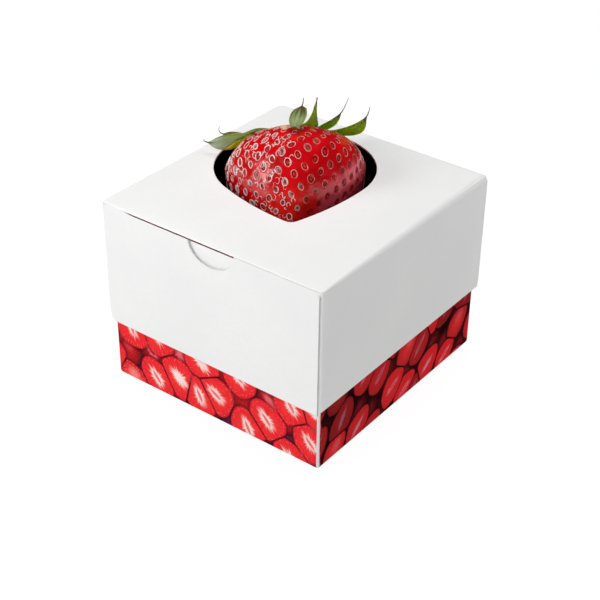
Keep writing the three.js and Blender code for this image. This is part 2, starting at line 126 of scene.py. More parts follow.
def noise_at(points, scale, seed=0.0):
    """Smooth noise of about -1 to 1 at each point; scale is cells for each unit."""
    shift = Vector((seed, seed * 1.7, -seed))
    return np.array([noise.noise(Vector(p) * scale + shift) for p in points])


def noise_grid(place, rows, columns):
    """Smooth noise at place(row, column), for each pair."""
    return np.array([[noise.noise(Vector(place(a, b))) for b in columns] for a in rows])


def shell_faces(rows, count, close_rows=False, start=0):
    """Quads between rings of count points; close_rows joins the last ring to the first."""
    faces = []
    for r in range(rows if close_rows else rows - 1):
        this, following = start + r * count, start + (r + 1) % rows * count
        for i in range(count):
            j = (i + 1) % count
            faces.append((this + i, following + i, following + j, this + j))
    return faces


def cap_faces(rows, count, start=0):
    """The first and the last ring as faces."""
    last = start + (rows - 1) * count
    return [tuple(range(start, start + count)), tuple(range(last + count - 1, last - 1, -1))]


def tube(line, side, up, radius, around):
    """Rings of points round a line; side and up are the directions of each ring."""
    angle = circle(around)[:, None]
    ring = side[..., None, :] * np.cos(angle) + up[..., None, :] * np.sin(angle)
    return line[:, None, :] + ring * radius[:, None, None]


class Shells:
    """Points, faces and colours of many small shells that make one piece."""

    def __init__(self):
        self.verts, self.faces, self.tones = [], [], []

    def add(self, rings, tones=None, close_rows=False, capped=False):
        """rings: rows x points x 3; tones: one colour, or one that spreads over the rings."""
        rows, count = rings.shape[:2]
        start = len(self.verts)
        self.verts.extend(rings.reshape(-1, 3))
        self.faces += shell_faces(rows, count, close_rows, start)
        if capped:
            self.faces += cap_faces(rows, count, start)
        if tones is not None:
            self.tones.extend(np.broadcast_to(tones, rings.shape).reshape(-1, 3))
        return start


def mesh_object(name, verts, faces, material, sharp):
    """A smooth piece on the body root; edges sharper than sharp, in degrees, stay crisp."""
    mesh = bpy.data.meshes.new(name)
    mesh.from_pydata((np.asarray(verts, float) * MM).tolist(), [], faces)
    mesh.validate()
    mesh.polygons.foreach_set("use_smooth", [True] * len(mesh.polygons))
    mesh.set_sharp_from_angle(angle=math.radians(sharp))
    mesh.materials.append(material)
    piece = bpy.data.objects.new(name, mesh)
    bpy.context.scene.collection.objects.link(piece)
    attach(piece, "root")
    return piece


def face_outwards(piece, merge=None, bevel=None):
    """Turns the faces outwards; merge joins points this near, and bevel rounds every edge."""
    work = bmesh.new()
    work.from_mesh(piece.data)
    bmesh.ops.recalc_face_normals(work, faces=work.faces)
    if merge:
        bmesh.ops.remove_doubles(work, verts=work.verts, dist=merge * MM)
    if bevel:
        bmesh.ops.bevel(work, geom=work.edges[:], offset=bevel * MM, segments=2, affect="EDGES")
    work.to_mesh(piece.data)
    work.free()


def prism(name, outline, y_front, y_back, material):
    """A piece with this outline of (x, z) points, between two planes across Y."""
    verts = [(x, y, z) for y in (y_front, y_back) for x, z in outline]
    count = len(outline)
    return mesh_object(name, verts, cap_faces(2, count) + shell_faces(2, count), material, 35)


def colour_points(piece, name, rgb):
    """A colour for each vertex."""
    layer = piece.data.attributes.new(name, "FLOAT_COLOR", "POINT")
    rgba = np.ones((len(piece.data.vertices), 4), np.float32)
    rgba[:, :3] = rgb
    layer.data.foreach_set("color", rgba.ravel())


def value_points(piece, name, values):
    """A number for each vertex."""
    layer = piece.data.attributes.new(name, "FLOAT", "POINT")
    layer.data.foreach_set("value", np.asarray(values, np.float32).ravel())


def loop_vertices(piece):
    """The vertex that each face corner stands on."""
    index = np.empty(len(piece.data.loops), int)
    piece.data.loops.foreach_get("vertex_index", index)
    return index


def map_corners(piece, name, uv):
    """A texture place for each face corner."""
    piece.data.uv_layers.new(name=name).data.foreach_set("uv", np.asarray(uv, np.float32).ravel())


class Shader:
    """A material with a short way to add nodes."""

    def __init__(self, name):
        self.material = bpy.data.materials.new(name)
        self.material.use_nodes = True
        self.tree = self.material.node_tree
        self.tree.nodes.clear()

    def node(self, kind, inputs=None, **settings):
        made = self.tree.nodes.new("ShaderNode" + kind)
        for key, value in settings.items():
            setattr(made, key, value)
        for key, value in (inputs or {}).items():
            if isinstance(value, bpy.types.NodeSocket):
                self.tree.links.new(value, made.inputs[key])
            else:
                made.inputs[key].default_value = value
        return made

    def place(self):
        """Each point's place on the object, in metres."""
        return self.node("TexCoord").outputs["Object"]

    def math(self, operation, *values):
        return self.node("Math", dict(enumerate(values)), operation=operation).outputs[0]

    def plus(self, a, b):
        return self.math("ADD", a, b)

    def times(self, a, b):
        return self.math("MULTIPLY", a, b)

    def line(self, value, slope, start):
        return self.math("MULTIPLY_ADD", value, slope, start)

    def length(self, x, y):
        return self.math("SQRT", self.plus(self.times(x, x), self.times(y, y)))

    def vector(self, operation, *values, out=0):
        return self.node("VectorMath", dict(enumerate(values)), operation=operation).outputs[out]

    def split(self, vector):
        return self.node("SeparateXYZ", {0: vector}).outputs

    def join(self, x, y, z=0.0):
        return self.node("CombineXYZ", {0: x, 1: y, 2: z}).outputs[0]

    def band(self, value, low, high, to_low=0.0, to_high=1.0):
        """A smooth step from to_low at low to to_high at high."""
        inputs = {0: value, 1: low, 2: high, 3: to_low, 4: to_high}
        return self.node("MapRange", inputs, interpolation_type="SMOOTHSTEP").outputs[0]

    def mix(self, factor, a, b, blend="MIX"):
        made = self.node("Mix", data_type="RGBA", blend_type=blend)
        for index, value in ((0, factor), (6, a), (7, b)):
            if isinstance(value, bpy.types.NodeSocket):
                self.tree.links.new(value, made.inputs[index])
            elif index:
                made.inputs[index].default_value = (*value[:3], 1)
            else:
                made.inputs[index].default_value = value
        return made.outputs[2]

    def tinted(self, colour, by):
        return self.mix(1.0, colour, by, "MULTIPLY")

    def noise(self, vector, scale, detail=3.0, rough=0.5):
        inputs = {"Vector": vector, "Scale": scale, "Detail": detail, "Roughness": rough}
        return self.node("TexNoise", inputs).outputs["Fac"]

    def cells(self, vector, scale, randomness, feature="F1"):
        inputs = {"Vector": vector, "Scale": scale, "Randomness": randomness}
        return self.node("TexVoronoi", inputs, voronoi_dimensions="2D", feature=feature).outputs

    def attribute(self, name, out="Color"):
        return self.node("Attribute", attribute_name=name).outputs[out]

    def bump(self, height, distance, strength=1.0):
        return self.node("Bump", {"Height": height, "Distance": distance, "Strength": strength}).outputs[0]

    def surface(self, **inputs):
        body = self.node("BsdfPrincipled", {key.replace("_", " "): value for key, value in inputs.items()})
        self.node("OutputMaterial", {"Surface": body.outputs[0]})
        return self.material


# ---------------------------------------------------------------- camera, floor and light

RIGHT, UP, BACK = (0.7956, 0.6057, 0.0105), (-0.3381, 0.4296, 0.8373), (0.5026, -0.6697, 0.5466)
CAMERA_AT = (228.93, -303.88, 270.85)
FOCAL_PX, FRAME_PX, SENSOR = 1369.775, 600, 36.0
FLOOR_HALF, FLOOR_DOWN = 6, 5e-5  # metres

camera = bpy.data.objects.new("camera", bpy.data.cameras.new("camera"))
bpy.context.scene.collection.objects.link(camera)
camera.data.sensor_width = SENSOR
camera.data.lens = FOCAL_PX * SENSOR / FRAME_PX
camera.data.clip_start, camera.data.clip_end = 0.01, 20
camera_turn = Matrix((RIGHT, UP, BACK)).transposed().to_quaternion()
camera.matrix_world = Matrix.Translation(Vector(CAMERA_AT) * MM) @ camera_turn.to_matrix().to_4x4()
bpy.context.scene.camera = camera
bpy.context.scene.view_settings.view_transform = "Standard"

world = bpy.data.worlds.new("studio")
world.use_nodes = True
world.node_tree.nodes["Background"].inputs["Color"].default_value = (1, 1, 1, 1)
world.node_tree.nodes["Background"].inputs["Strength"].default_value = 0.02
bpy.context.scene.world = world


def area_light(name, at, aim, size, power, shines=False):
    """A softbox, width by height in metres; it is mirrored in gloss only where it shines."""
    light = bpy.data.lights.new(name, "AREA")
    light.energy = power
    light.shape = "RECTANGLE"
    light.size, light.size_y = size
    holder = bpy.data.objects.new(name, light)
    bpy.context.scene.collection.objects.link(holder)
    holder.location = at
    holder.rotation_mode = "QUATERNION"
    holder.rotation_quaternion = (Vector(aim) - Vector(at)).to_track_quat("-Z", "Y")
    holder.visible_camera = False
    holder.visible_glossy = shines
    return holder


area_light("over", (-0.06, 0.24, 0.89), (0, 0, 0.04), (0.5, 0.5), 5.4)
area_light("near", (-0.27, -0.36, 0.30), (0, 0, 0.05), (0.2, 0.2), 1.16)
area_light("front", (0.21, -0.57, 0.60), (0, 0, 0.06), (0.2, 0.2), 1.85)
area_light("fill", (0.24, 0.27, 0.12), (0.04, 0.03, 0.04), (0.1, 0.1), 0.18)
glint = area_light("glint", (-0.38, -0.72, 0.27), (0, 0, 0.06), (0.20, 0.46), 2.2, shines=True)
glint.visible_diffuse = False

floor_look = Shader("pale_floor")
glow = floor_look.node("Emission", {"Color": (1, 1, 1, 1), "Strength": 0.93})
matt = floor_look.node("BsdfDiffuse", {"Color": (0.12, 0.12, 0.12, 1)})
both = floor_look.node("AddShader", {0: glow.outputs[0], 1: matt.outputs[0]})
floor_look.node("OutputMaterial", {"Surface": both.outputs[0]})
floor_mesh = bpy.data.meshes.new("floor")
corner_signs = ((-1, -1), (1, -1), (1, 1), (-1, 1))
floor_corners = [(x * FLOOR_HALF, y * FLOOR_HALF, -FLOOR_DOWN) for x, y in corner_signs]
floor_mesh.from_pydata(floor_corners, [], [(0, 1, 2, 3)])
floor_mesh.materials.append(floor_look.material)
floor = bpy.data.objects.new("floor", floor_mesh)
bpy.context.scene.collection.objects.link(floor)
floor.visible_glossy = False  # its glow would lie as a haze over dark print and fruit

# ---------------------------------------------------------------- card materials


def white_card():
    """White card with its kraft core at cut edges, a red-brown slit, which is the core with painted shade,
    and a grey line of painted shade in the front corner's seam.
    """
    s = Shader("white_card_look")
    place = s.place()
    fibre = s.noise(place, 900.0, 4.0, 0.6)
    cloud = s.noise(place, 26.0, 2.0)
    grain = s.noise(place, 2600.0, 2.0)
    colour = s.mix(s.band(cloud, 0.3, 0.7), (0.865, 0.868, 0.865), (0.90, 0.90, 0.895))
    colour = s.mix(s.band(fibre, 0.35, 0.75, 0.0, 0.35), colour, (0.84, 0.84, 0.83))
    kraft = s.mix(grain, (0.42, 0.27, 0.13), (0.66, 0.48, 0.27))
    # the slit's colour: the kraft core darkened with painted shade
    slit = s.mix(grain, (0.17, 0.040, 0.030), (0.30, 0.095, 0.070))
    # the grey for the seam is painted shade in the front corner's groove
    for name, shade in (("kraft", kraft), ("slit", slit), ("seam", (0.33, 0.325, 0.32))):
        colour = s.mix(s.attribute(name, "Fac"), colour, shade)
    height = s.plus(s.times(fibre, 0.7), s.times(s.noise(place, 240.0, 2.0), 0.6))
    rough = s.band(fibre, 0.2, 0.8, 0.42, 0.56)
    return s.surface(Base_Color=colour, Roughness=rough, Normal=s.bump(height, 3e-5, 0.6))


class BerryPrint(Shader):
    """Own layout of cut and whole strawberries on a dark ground, one Voronoi cell for each.

    across is 1 on the walls across X, where the print is darker, and its berries are slimmer and
    lean the other way."""

    CORE = (0.27, 0.48)  # half width and half length of a cut berry's pale core, in parts of the berry
    HEART = (0.10, 0.34)
    LOOSE = 0.62  # how far the berries stand from an even grid

    def __init__(self):
        super().__init__("berry_print_look")
        self.flat = self.node("UVMap", uv_map="print").outputs[0]
        self.across = self.attribute("across", "Fac")
        where = self.split(self.flat)
        self.mirrored = self.join(self.times(where[0], self.line(self.across, 2.0, -1.0)), where[1])

    def layer(self, offset, cell, lean, squeeze, seed_shift):
        """Each point's place x, y in its own berry, its reach from the middle (1 at the skin), the
        cell's random values, and the distance to the next cell. cell is in millimetres."""
        inputs = {"Vector": self.mirrored, "Location": (*offset, 0), "Rotation": (0, 0, -lean),
                  "Scale": (cell * squeeze, cell, 1)}
        leant = self.split(self.node("Mapping", inputs, vector_type="TEXTURE").outputs[0])
        moved = self.join(self.times(leant[0], self.line(self.across, 0.34, 1.0)), leant[1])
        cells = self.cells(moved, 1.0, self.LOOSE)
        edge = self.cells(moved, 1.0, self.LOOSE, "DISTANCE_TO_EDGE")["Distance"]
        random = self.node("SeparateColor", {0: cells["Color"]}).outputs
        spin = self.line(random[0], 1.1, -0.55)
        inputs = {"Vector": self.vector("SUBTRACT", moved, cells["Position"]), "Angle": spin}
        own = self.node("VectorRotate", inputs, rotation_type="Z_AXIS").outputs[0]
        axes = self.split(own)
        grow = self.plus(self.line(random[1], 0.30, 1.66), self.times(self.across, 0.12))
        y = self.times(axes[1], grow)
        # egg shape: narrower towards the tip, at +y
        x = self.math("DIVIDE", self.times(axes[0], grow), self.math("SUBTRACT", 1.02, self.times(y, 0.22)))
        wobble = self.noise(self.vector("ADD", own, (seed_shift, 0, 0)), 2.2, 1.0)
        reach = self.plus(self.length(x, y), self.line(wobble, 0.16, -0.08))
        return dict(edge=edge, x=x, y=y, reach=reach, random=random, own=own)

    def oval(self, v, wide, tall):
        """Distance from the berry's middle, 1 on an oval of these half sizes."""
        return self.length(self.math("DIVIDE", v["x"], wide), self.math("DIVIDE", v["y"], tall))

    def cut(self, v, light, deep, heart):
        """Flesh with fine rays from a pale core to the skin, and pips just inside the skin."""
        angle = self.math("ARCTAN2", v["y"], v["x"])
        own_rays = self.times(v["random"][2], 30.0)
        ray_at = self.join(self.times(angle, 9.0), self.times(v["reach"], 1.4), own_rays)
        rays = self.noise(ray_at, 1.0, 2.0, 0.6)
        flesh = self.mix(self.band(v["reach"], 0.35, 1.02), light, deep)
        flesh = self.mix(self.band(rays, 0.35, 0.7, 0.0, 0.5), flesh, [c * 0.72 for c in deep])
        core = self.oval(v, self.line(self.across, -0.11, self.CORE[0]), self.CORE[1])
        core = self.plus(core, self.line(rays, 1.9, -0.95))
        flesh = self.mix(self.band(core, 0.55, 1.3, 0.95, 0.0), flesh, (0.96, 0.80, 0.74))
        inside = self.band(self.oval(v, *self.HEART), 0.75, 1.15, 0.85, 0.0)
        inside = self.times(inside, self.band(v["random"][1], 0.15, 0.35))
        flesh = self.mix(inside, flesh, heart)
        pips = self.cells(self.flat, 0.95, 0.9)["Distance"]
        rim = self.times(self.band(v["reach"], 0.72, 0.84), self.band(v["reach"], 0.93, 1.0, 1.0, 0.0))
        dots = self.times(self.band(pips, 0.10, 0.2, 0.3, 0.0), rim)
        return self.mix(dots, flesh, (0.93, 0.5, 0.30))

    def whole(self, v, light, deep):
        """Plain skin with pips and a soft light patch."""
        skin_light, skin_deep = [min(c * 1.12, 1) for c in light], [c * 0.75 for c in deep]
        skin = self.mix(self.band(v["reach"], 0.2, 1.0), skin_light, skin_deep)
        spots = self.cells(self.flat, 0.7, 0.8)["Distance"]
        skin = self.mix(self.band(spots, 0.08, 0.2, 0.45, 0.0), skin, (0.85, 0.40, 0.20))
        away = self.vector("LENGTH", self.vector("SUBTRACT", v["own"], (-0.1, 0.12, 0)), out=1)
        return self.mix(self.band(away, 0.05, 0.28, 0.45, 0.0), skin, (0.95, 0.42, 0.38))

    def berry(self, v, whole_above, light, deep, heart):
        """Colour of a berry, whole in the cells whose random value is above whole_above."""
        is_whole = self.math("GREATER_THAN", v["random"][2], whole_above)
        return self.mix(is_whole, self.cut(v, light, deep, heart), self.whole(v, light, deep))

    def darker_across(self, colour, by):
        return self.mix(self.across, colour, self.tinted(colour, by))

    def look(self):
        under = self.layer((3.1, 5.7), 12.0, 0.62, 0.88, 4.0)
        over = self.layer((0.0, 1.2), 14.2, 0.74, 0.86, 0.0)
        gap = self.mix(self.noise(self.flat, 0.25, 3.0), (0.04, 0.004, 0.02), (0.20, 0.010, 0.05))
        gap = self.darker_across(gap, (0.25, 0.25, 0.35))
        dim = self.berry(under, 0.6, (0.52, 0.008, 0.030), (0.26, 0.003, 0.018), (0.4, 0.02, 0.04))
        dim = self.darker_across(self.tinted(dim, (0.90, 0.14, 0.20)), (0.40, 0.40, 0.60))
        dim = self.mix(self.band(under["reach"], 0.7, 1.0, 0.0, 0.8), dim, (0.05, 0.003, 0.012))
        colour = self.mix(self.band(under["reach"], 0.97, 1.03, 1.0, 0.0), gap, dim)
        bright = self.berry(over, 0.88, (0.98, 0.030, 0.032), (0.88, 0.008, 0.020), (0.90, 0.07, 0.08))
        bright = self.mix(self.band(over["reach"], 0.88, 1.0, 0.0, 0.4), bright, (0.26, 0.002, 0.014))
        body = self.band(over["reach"], 0.97, 1.02, 1.0, 0.0)
        body = self.times(body, self.band(over["edge"], 0.012, 0.035))
        shade = self.times(self.band(over["reach"], 1.0, 1.22, 1.0, 0.0), self.line(self.across, 0.35, 0.55))
        colour = self.mix(body, self.mix(shade, colour, (0.02, 0.002, 0.008)), bright)
        dusk = self.mix(self.band(over["random"][0], 0.2, 0.85), (0.34, 0.07, 0.16), (0.90, 0.22, 0.36))
        colour = self.mix(self.times(self.across, 0.92), colour, self.tinted(colour, dusk))
        colour = self.mix(self.attribute("bare", "Fac"), colour, (0.86, 0.86, 0.86))
        fibre = self.noise(self.place(), 900.0, 3.0)
        return self.surface(Base_Color=colour, Roughness=self.band(fibre, 0.2, 0.8, 0.34, 0.46),
                            Normal=self.bump(fibre, 2e-5, 0.5), Specular_IOR_Level=0.14)


# The insert is coloured near black, as dark as the well round the fruit looks.
def near_black_well():
    s = Shader("black_insert_look")
    grain = s.noise(s.place(), 1400.0, 3.0, 0.7)
    colour = s.mix(grain, (0.0015, 0.0014, 0.0014), (0.006, 0.005, 0.005))
    normal = s.bump(grain, 1e-4, 0.8)
    return s.surface(Base_Color=colour, Roughness=0.95, Normal=normal, Specular_IOR_Level=0.1)


CARD_LOOK = white_card()
PRINT_LOOK = BerryPrint().look()

# ---------------------------------------------------------------- card shells

CARD_SHARP = 32  # degrees


class Outline:
    """A rounded rectangle as a closed row of points, counter-clockwise from the front (+X, -Y) corner.

    Side k runs from corner k to corner k + 1: the sides face +X, +Y, -X and -Y. Rings of it keep
    one row of points, so that a shell is a stack of rings."""

    SIGNS = ((1, -1), (1, 1), (-1, 1), (-1, -1))  # front, right, back, left corner

    def __init__(self, width, depth, radius, side_steps, corner_steps, marks=()):
        """marks: places along the front wall, in X, that need a point of their own."""
        self.half = np.array((width / 2, depth / 2))
        self.radii = np.asarray(radius, float)
        self.corner_steps = corner_steps
        self.sides = [np.linspace(0, 1, side_steps + 1) for _ in range(4)]
        left, right = self.half[0] - self.radii[3], self.half[0] - self.radii[0]
        marked = [(x + left) / (left + right) for x in marks if -left < x < right]
        self.sides[3] = np.unique(np.concatenate([self.sides[3], marked]))

    def ring(self, inset):
        """inset: a number, or a function of (side, fraction) that agrees at the corners."""
        inset_at = inset if callable(inset) else lambda side, f: np.full(len(f), float(inset))
        corner = [float(inset_at(k, np.zeros(1))[0]) for k in range(4)]
        radii = [max(r - c, 0.05) for r, c in zip(self.radii, corner)]
        points, normals = [], []
        for k, f in enumerate(self.sides):
            j = (k + 1) % 4
            axis = k % 2  # which axis the side faces
            out = 1 if k in (0, 1) else -1
            run = 1 if k in (0, 3) else -1
            start = -(self.half[1 - axis] - corner[k] - radii[k])
            end = self.half[1 - axis] - corner[j] - radii[j]
            wall = np.zeros((len(f), 2))
            wall[:, axis] = out * (self.half[axis] - inset_at(k, f))
            wall[:, 1 - axis] = run * (start + (end - start) * f)
            facing = np.zeros_like(wall)
            facing[:, axis] = out
            centre = np.array(self.SIGNS[j]) * (self.half - corner[j] - radii[j])
            first = math.atan2(facing[0, 1], facing[0, 0])
            angle = first + np.linspace(0, math.pi / 2, self.corner_steps + 2)[1:-1]
            round_ = np.stack([np.cos(angle), np.sin(angle)], 1)
            points += [wall, centre + radii[j] * round_]
            normals += [facing, round_]
        return np.concatenate(points), np.concatenate(normals)

    def along(self, on_side, at_corner):
        """A value for each point: on_side(k) for side k's points, at_corner(k) at corner k."""
        values = []
        for k in range(4):
            values.append(np.broadcast_to(on_side(k), (len(self.sides[k]),)))
            values.append(np.full(self.corner_steps, at_corner((k + 1) % 4)))
        return np.concatenate(values)

    def where(self):
        """Side number of each point, or -1 on the corners; and the corner number, or -1."""
        return self.along(lambda k: k, lambda k: -1), self.along(lambda k: -1, lambda k: k)


def normal_angle(normal):
    return np.degrees(np.arctan2(normal[:, 1], normal[:, 0]))


def push_in(points, normal, by):
    """Moves rings of points in along the outline's normals, each by its own amount."""
    points[:, :, :2] -= normal * by[:, :, None]


def wall_bow(points, base, side, size, low, tall, most):
    """How far each point of a wall bows in, as card is never quite flat."""
    along = np.where(side % 2 == 0, base[:, 1] / size[1], base[:, 0] / size[0])
    up = np.clip((points[:, :, 2] - low) / tall, 0, 1)
    return most * np.cos(np.pi * along) * (side >= 0) * np.sin(np.pi * up)


def window_outline():
    """A point well inside the window, and angle and radius of the window's edge round it."""
    bx, by, br = WINDOW["big"]
    tx, ty, tr = WINDOW["tip"]
    flank = WINDOW["flank"]
    span = math.hypot(tx - bx, ty - by)
    heading = math.atan2(ty - by, tx - bx)
    from_big, from_tip = flank - br, flank - tr
    along = (from_big**2 - from_tip**2 + span**2) / (2 * span)
    aside = math.sqrt(from_big**2 - along**2)
    big_turn = math.atan2(aside, -along)
    tip_turn = math.atan2(aside, span - along)
    ahead = np.array((math.cos(heading), math.sin(heading)))
    right, left = ((bx, by) + along * ahead + side * aside * ahead[::-1] * (1, -1) for side in (1, -1))
    edge = np.concatenate([
        arc(bx, by, br, heading + big_turn, heading - big_turn + 2 * math.pi, 400),
        arc(*left, flank, heading - big_turn, heading - tip_turn, 120),
        arc(tx, ty, tr, heading - tip_turn, heading + tip_turn, 120),
        arc(*right, flank, heading + tip_turn, heading + big_turn, 120),
    ])
    middle = np.array((-5.0, 3.0))
    rel = edge - middle
    angle = np.arctan2(rel[:, 1], rel[:, 0])
    order = np.argsort(angle)
    return middle, angle[order], np.hypot(*rel[order].T)


LID_CORNERS = (1.2, 0.9, 2.6, 0.9)  # radius of each upright corner
LID_FOLDS = (0.30, 2.6, 1.0, 0.5)  # radius of the top's fold at each corner
LID_MARKS = (-40.4, -40.0, -36.5, -35.2, SLIT[0], SLIT[1] - 0.1, SLIT[1] + 0.1)
DASH = (-42.0, -40.1)  # a short slit by the left corner
CORNER_CUT = dict(along=1.6, up=3.2)  # cut off the walls' lower corners
# how far out and down the card's edge goes round the window, and how much kraft core it shows
WINDOW_EDGE = ((0, CARD, 1), (0, CARD - 0.04, 1), (0, 0.10, 1), (0.02, 0.035, 0.75), (0.07, 0.005, 0))
NOTCH_BROW = 0.97  # how far the notch's upper edge lies below the top, under the joint
NOTCH_CUT = (-46.0, -44.25)  # the planes of the cutter's faces, either side of the front wall
NICK = dict(at=(42.5, 45, 64.2), size=(0.7, 0.7, 0.9), depth=0.6)


def fold_radius(k, f):
    """Radius of the top's fold at fraction f of side k."""
    ease = f**0.6 if k == 0 else f
    return LID_FOLDS[k] + (LID_FOLDS[(k + 1) % 4] - LID_FOLDS[k]) * ease


def lid_low_edge(outline, base, normal, side):
    """Height of the walls' lower edge; the corners are cut off, apart from the front one."""
    at_front = (base[:, 0] > 0) & (base[:, 1] < 0)
    on_corner = side < 0
    faces_x = (side == 0) | (side == 2) | (on_corner & at_front & (normal_angle(normal) > -38))
    from_corner = (outline.half - np.abs(base)).max(axis=1)
    rise = CORNER_CUT["up"] * np.clip(1 - from_corner / CORNER_CUT["along"], 0, 1)
    rise = np.where(at_front, 0, np.where(on_corner, CORNER_CUT["up"], rise))
    low = np.where(faces_x, LID["low_x"], LID["low_y"])
    return np.where(on_corner & ~at_front, LID["low_y"] + rise, np.maximum(low, LID["low_y"] + rise))


def make_lid():
    top = LID["top"]
    outline = Outline(LID["width"], LID["depth"], LID_CORNERS, 56, 20, LID_MARKS)
    base, normal = outline.ring(0.0)
    side, corner = outline.where()
    count = len(base)
    x = base[:, 0]
    fold = outline.along(lambda k: fold_radius(k, outline.sides[k]), lambda k: LID_FOLDS[k])
    rows, heights, kraft, slit = [], [], [], []

    def add(points, z, core=0.0, slit_core_and_shade=0.0):
        """A ring of the card, and how much it shows the kraft core and the slit's colour, which is the core
        with painted shade.
        """
        rows.append(points)
        for values, value in ((heights, z), (kraft, core), (slit, slit_core_and_shade)):
            values.append(np.broadcast_to(np.asarray(value, float), (count,)))

    # the window's edge, and the top out to the fold
    middle, win_angle, win_radius = window_outline()
    rel = base - middle
    radius = np.interp(np.arctan2(rel[:, 1], rel[:, 0]), win_angle, win_radius, period=2 * math.pi)
    window = middle + unit(rel) * radius[:, None]
    for out, down, core in WINDOW_EDGE:
        add(window + unit(rel) * out, top - down, core)
    inner, _ = outline.ring(fold_radius)
    for part in (0.012, 0.1, 0.3, 0.55, 0.8):
        add(window + (inner - window) * part, top)
    first_outer = len(rows)
    for alpha in np.radians(np.linspace(0, 90, 9)):
        ring, _ = outline.ring(lambda k, f, a=alpha: fold_radius(k, f) * (1 - math.sin(a)))
        add(ring, top - fold * (1 - math.cos(alpha)))

    # the joint under the top panel's front edge: an open slit, then a closed seam
    front = side == 3
    open_slit = front * smooth(x, SLIT[0] - 0.5, SLIT[0] + 4.5) * smooth(x, SLIT[1] + 0.05, SLIT[1] - 0.05)
    dash = front * smooth(x, DASH[0], DASH[0] + 0.3) * smooth(x, DASH[1], DASH[1] - 0.4)
    seam = front * smooth(x, SLIT[1] - 0.1, SLIT[1] + 0.1)
    groove = base - normal * (0.55 * open_slit + 0.35 * dash + 0.12 * seam)[:, None]
    tall = 0.10 + 0.36 * open_slit + 0.12 * dash + 0.04 * seam
    # the slit's colour, kraft core with painted shade, and a little of it along the closed seam
    slit_core_and_shade = open_slit + 0.30 * seam
    start = top - fold
    below = start - 0.08 - tall
    add(base, start - 0.03)
    add(groove, start - 0.04, 0, slit_core_and_shade)
    add(groove, start - 0.04 - tall, 0, slit_core_and_shade)
    add(base, start - 0.05 - tall, 0, slit_core_and_shade)
    add(base, below)

    # the walls, their lower edge and the inside
    low = lid_low_edge(outline, base, normal, side)
    for part in (0.015, 0.04, 0.08, 0.14, 0.22, 0.32, 0.44, 0.56, 0.68, 0.8, 0.9, 0.96, 0.995):
        add(base, below + (low + 0.06 - below) * part)
    add(base - normal * 0.05, low, 0.6)
    end_outer = len(rows)
    inset, _ = outline.ring(CARD)
    add(inset + normal * 0.04, low, 0.6)
    add(inset, low + 0.05)
    for z in (40.0, 60.0, top - CARD - 0.05):
        add(inset, np.maximum(low + 0.1, z))
    deep, _ = outline.ring(CARD + 0.2)
    add(deep, top - CARD)
    add(window + (deep - window) * 0.5, top - CARD)

    points = np.stack([np.column_stack([ring, z]) for ring, z in zip(rows, heights)])
    outer = np.zeros(points.shape[:2])
    outer[first_outer:end_outer] = 1
    # the front corner: a groove with a grey line of painted shade in it as a dark seam, with a bright strip
    # of card to its right
    z = points[:, :, 2]
    strength = outer * (1 - smooth(z, 61.0, 64.6)) * smooth(z, 21.0, 21.1)
    angle = normal_angle(normal)
    crease = (corner == 0) * (smooth(angle, -88, -80) - smooth(angle, -56, -48))
    # where the grey seam of painted shade goes, in the corner's groove
    line = (corner == 0) * (smooth(angle, -89, -83) - smooth(angle, -58, -48))
    push_in(points, normal, 0.8 * crease * strength)
    # a small open nick at the right corner of the top
    nick = np.exp(-(((points - NICK["at"]) / NICK["size"]) ** 2).sum(axis=2))
    points[:, :, :2] -= (NICK["depth"] * nick * outer)[:, :, None]
    bow = wall_bow(points, base, side, (LID["width"], LID["depth"]), low=21, tall=43, most=0.12)
    push_in(points, normal, bow * outer)

    faces = shell_faces(len(rows), count, close_rows=True)
    lid = mesh_object("lid_card", points.reshape(-1, 3), faces, CARD_LOOK, CARD_SHARP)
    value_points(lid, "kraft", kraft)
    value_points(lid, "slit", slit)
    # painted shade: the grey seam in the front corner's groove
    value_points(lid, "seam", 0.85 * line * strength)
    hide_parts("lid")
    cut_notch(lid)


def cut_notch(lid):
    """The thumb notch, half an oval cut through the front wall below the joint."""
    half_size = (NOTCH["half"], NOTCH["depth"] - CARD)
    rim = arc(0, 0, 1, math.pi, 2 * math.pi, 49) * half_size + (NOTCH["x"], LID["top"] - NOTCH_BROW)
    cutter = prism("notch_cutter", rim, *NOTCH_CUT, CARD_LOOK)
    face_outwards(cutter)
    cut = lid.modifiers.new("notch", "BOOLEAN")
    cut.operation, cut.solver, cut.object = "DIFFERENCE", "EXACT", cutter
    graph = bpy.context.evaluated_depsgraph_get()
    done = lid.evaluated_get(graph)
    mesh = bpy.data.meshes.new_from_object(done, preserve_all_data_layers=True, depsgraph=graph)
    lid.modifiers.clear()
    lid.data = mesh
    lid.data.set_sharp_from_angle(angle=math.radians(CARD_SHARP))
    bpy.data.objects.remove(cutter)


def make_flap():
    """The top panel's tuck flap, which shows through the notch."""
    half, corner = TUCK["half"], TUCK["corner"]
    front = -LID["depth"] / 2 + CARD + TUCK["behind"]
    top = LID["top"] - CARD - 0.02
    turn_at = TUCK["bottom"] + corner
    path = np.concatenate([
        [(-half, top)],
        arc(corner - half, turn_at, corner, math.pi, 1.5 * math.pi, 9),
        arc(half - corner, turn_at, corner, 1.5 * math.pi, 2 * math.pi, 9),
        [(half, top)],
    ])
    flap = prism("lid_flap", path, front, front + CARD, CARD_LOOK)
    face_outwards(flap, bevel=0.08)
    flap.data.set_sharp_from_angle(angle=math.radians(CARD_SHARP))


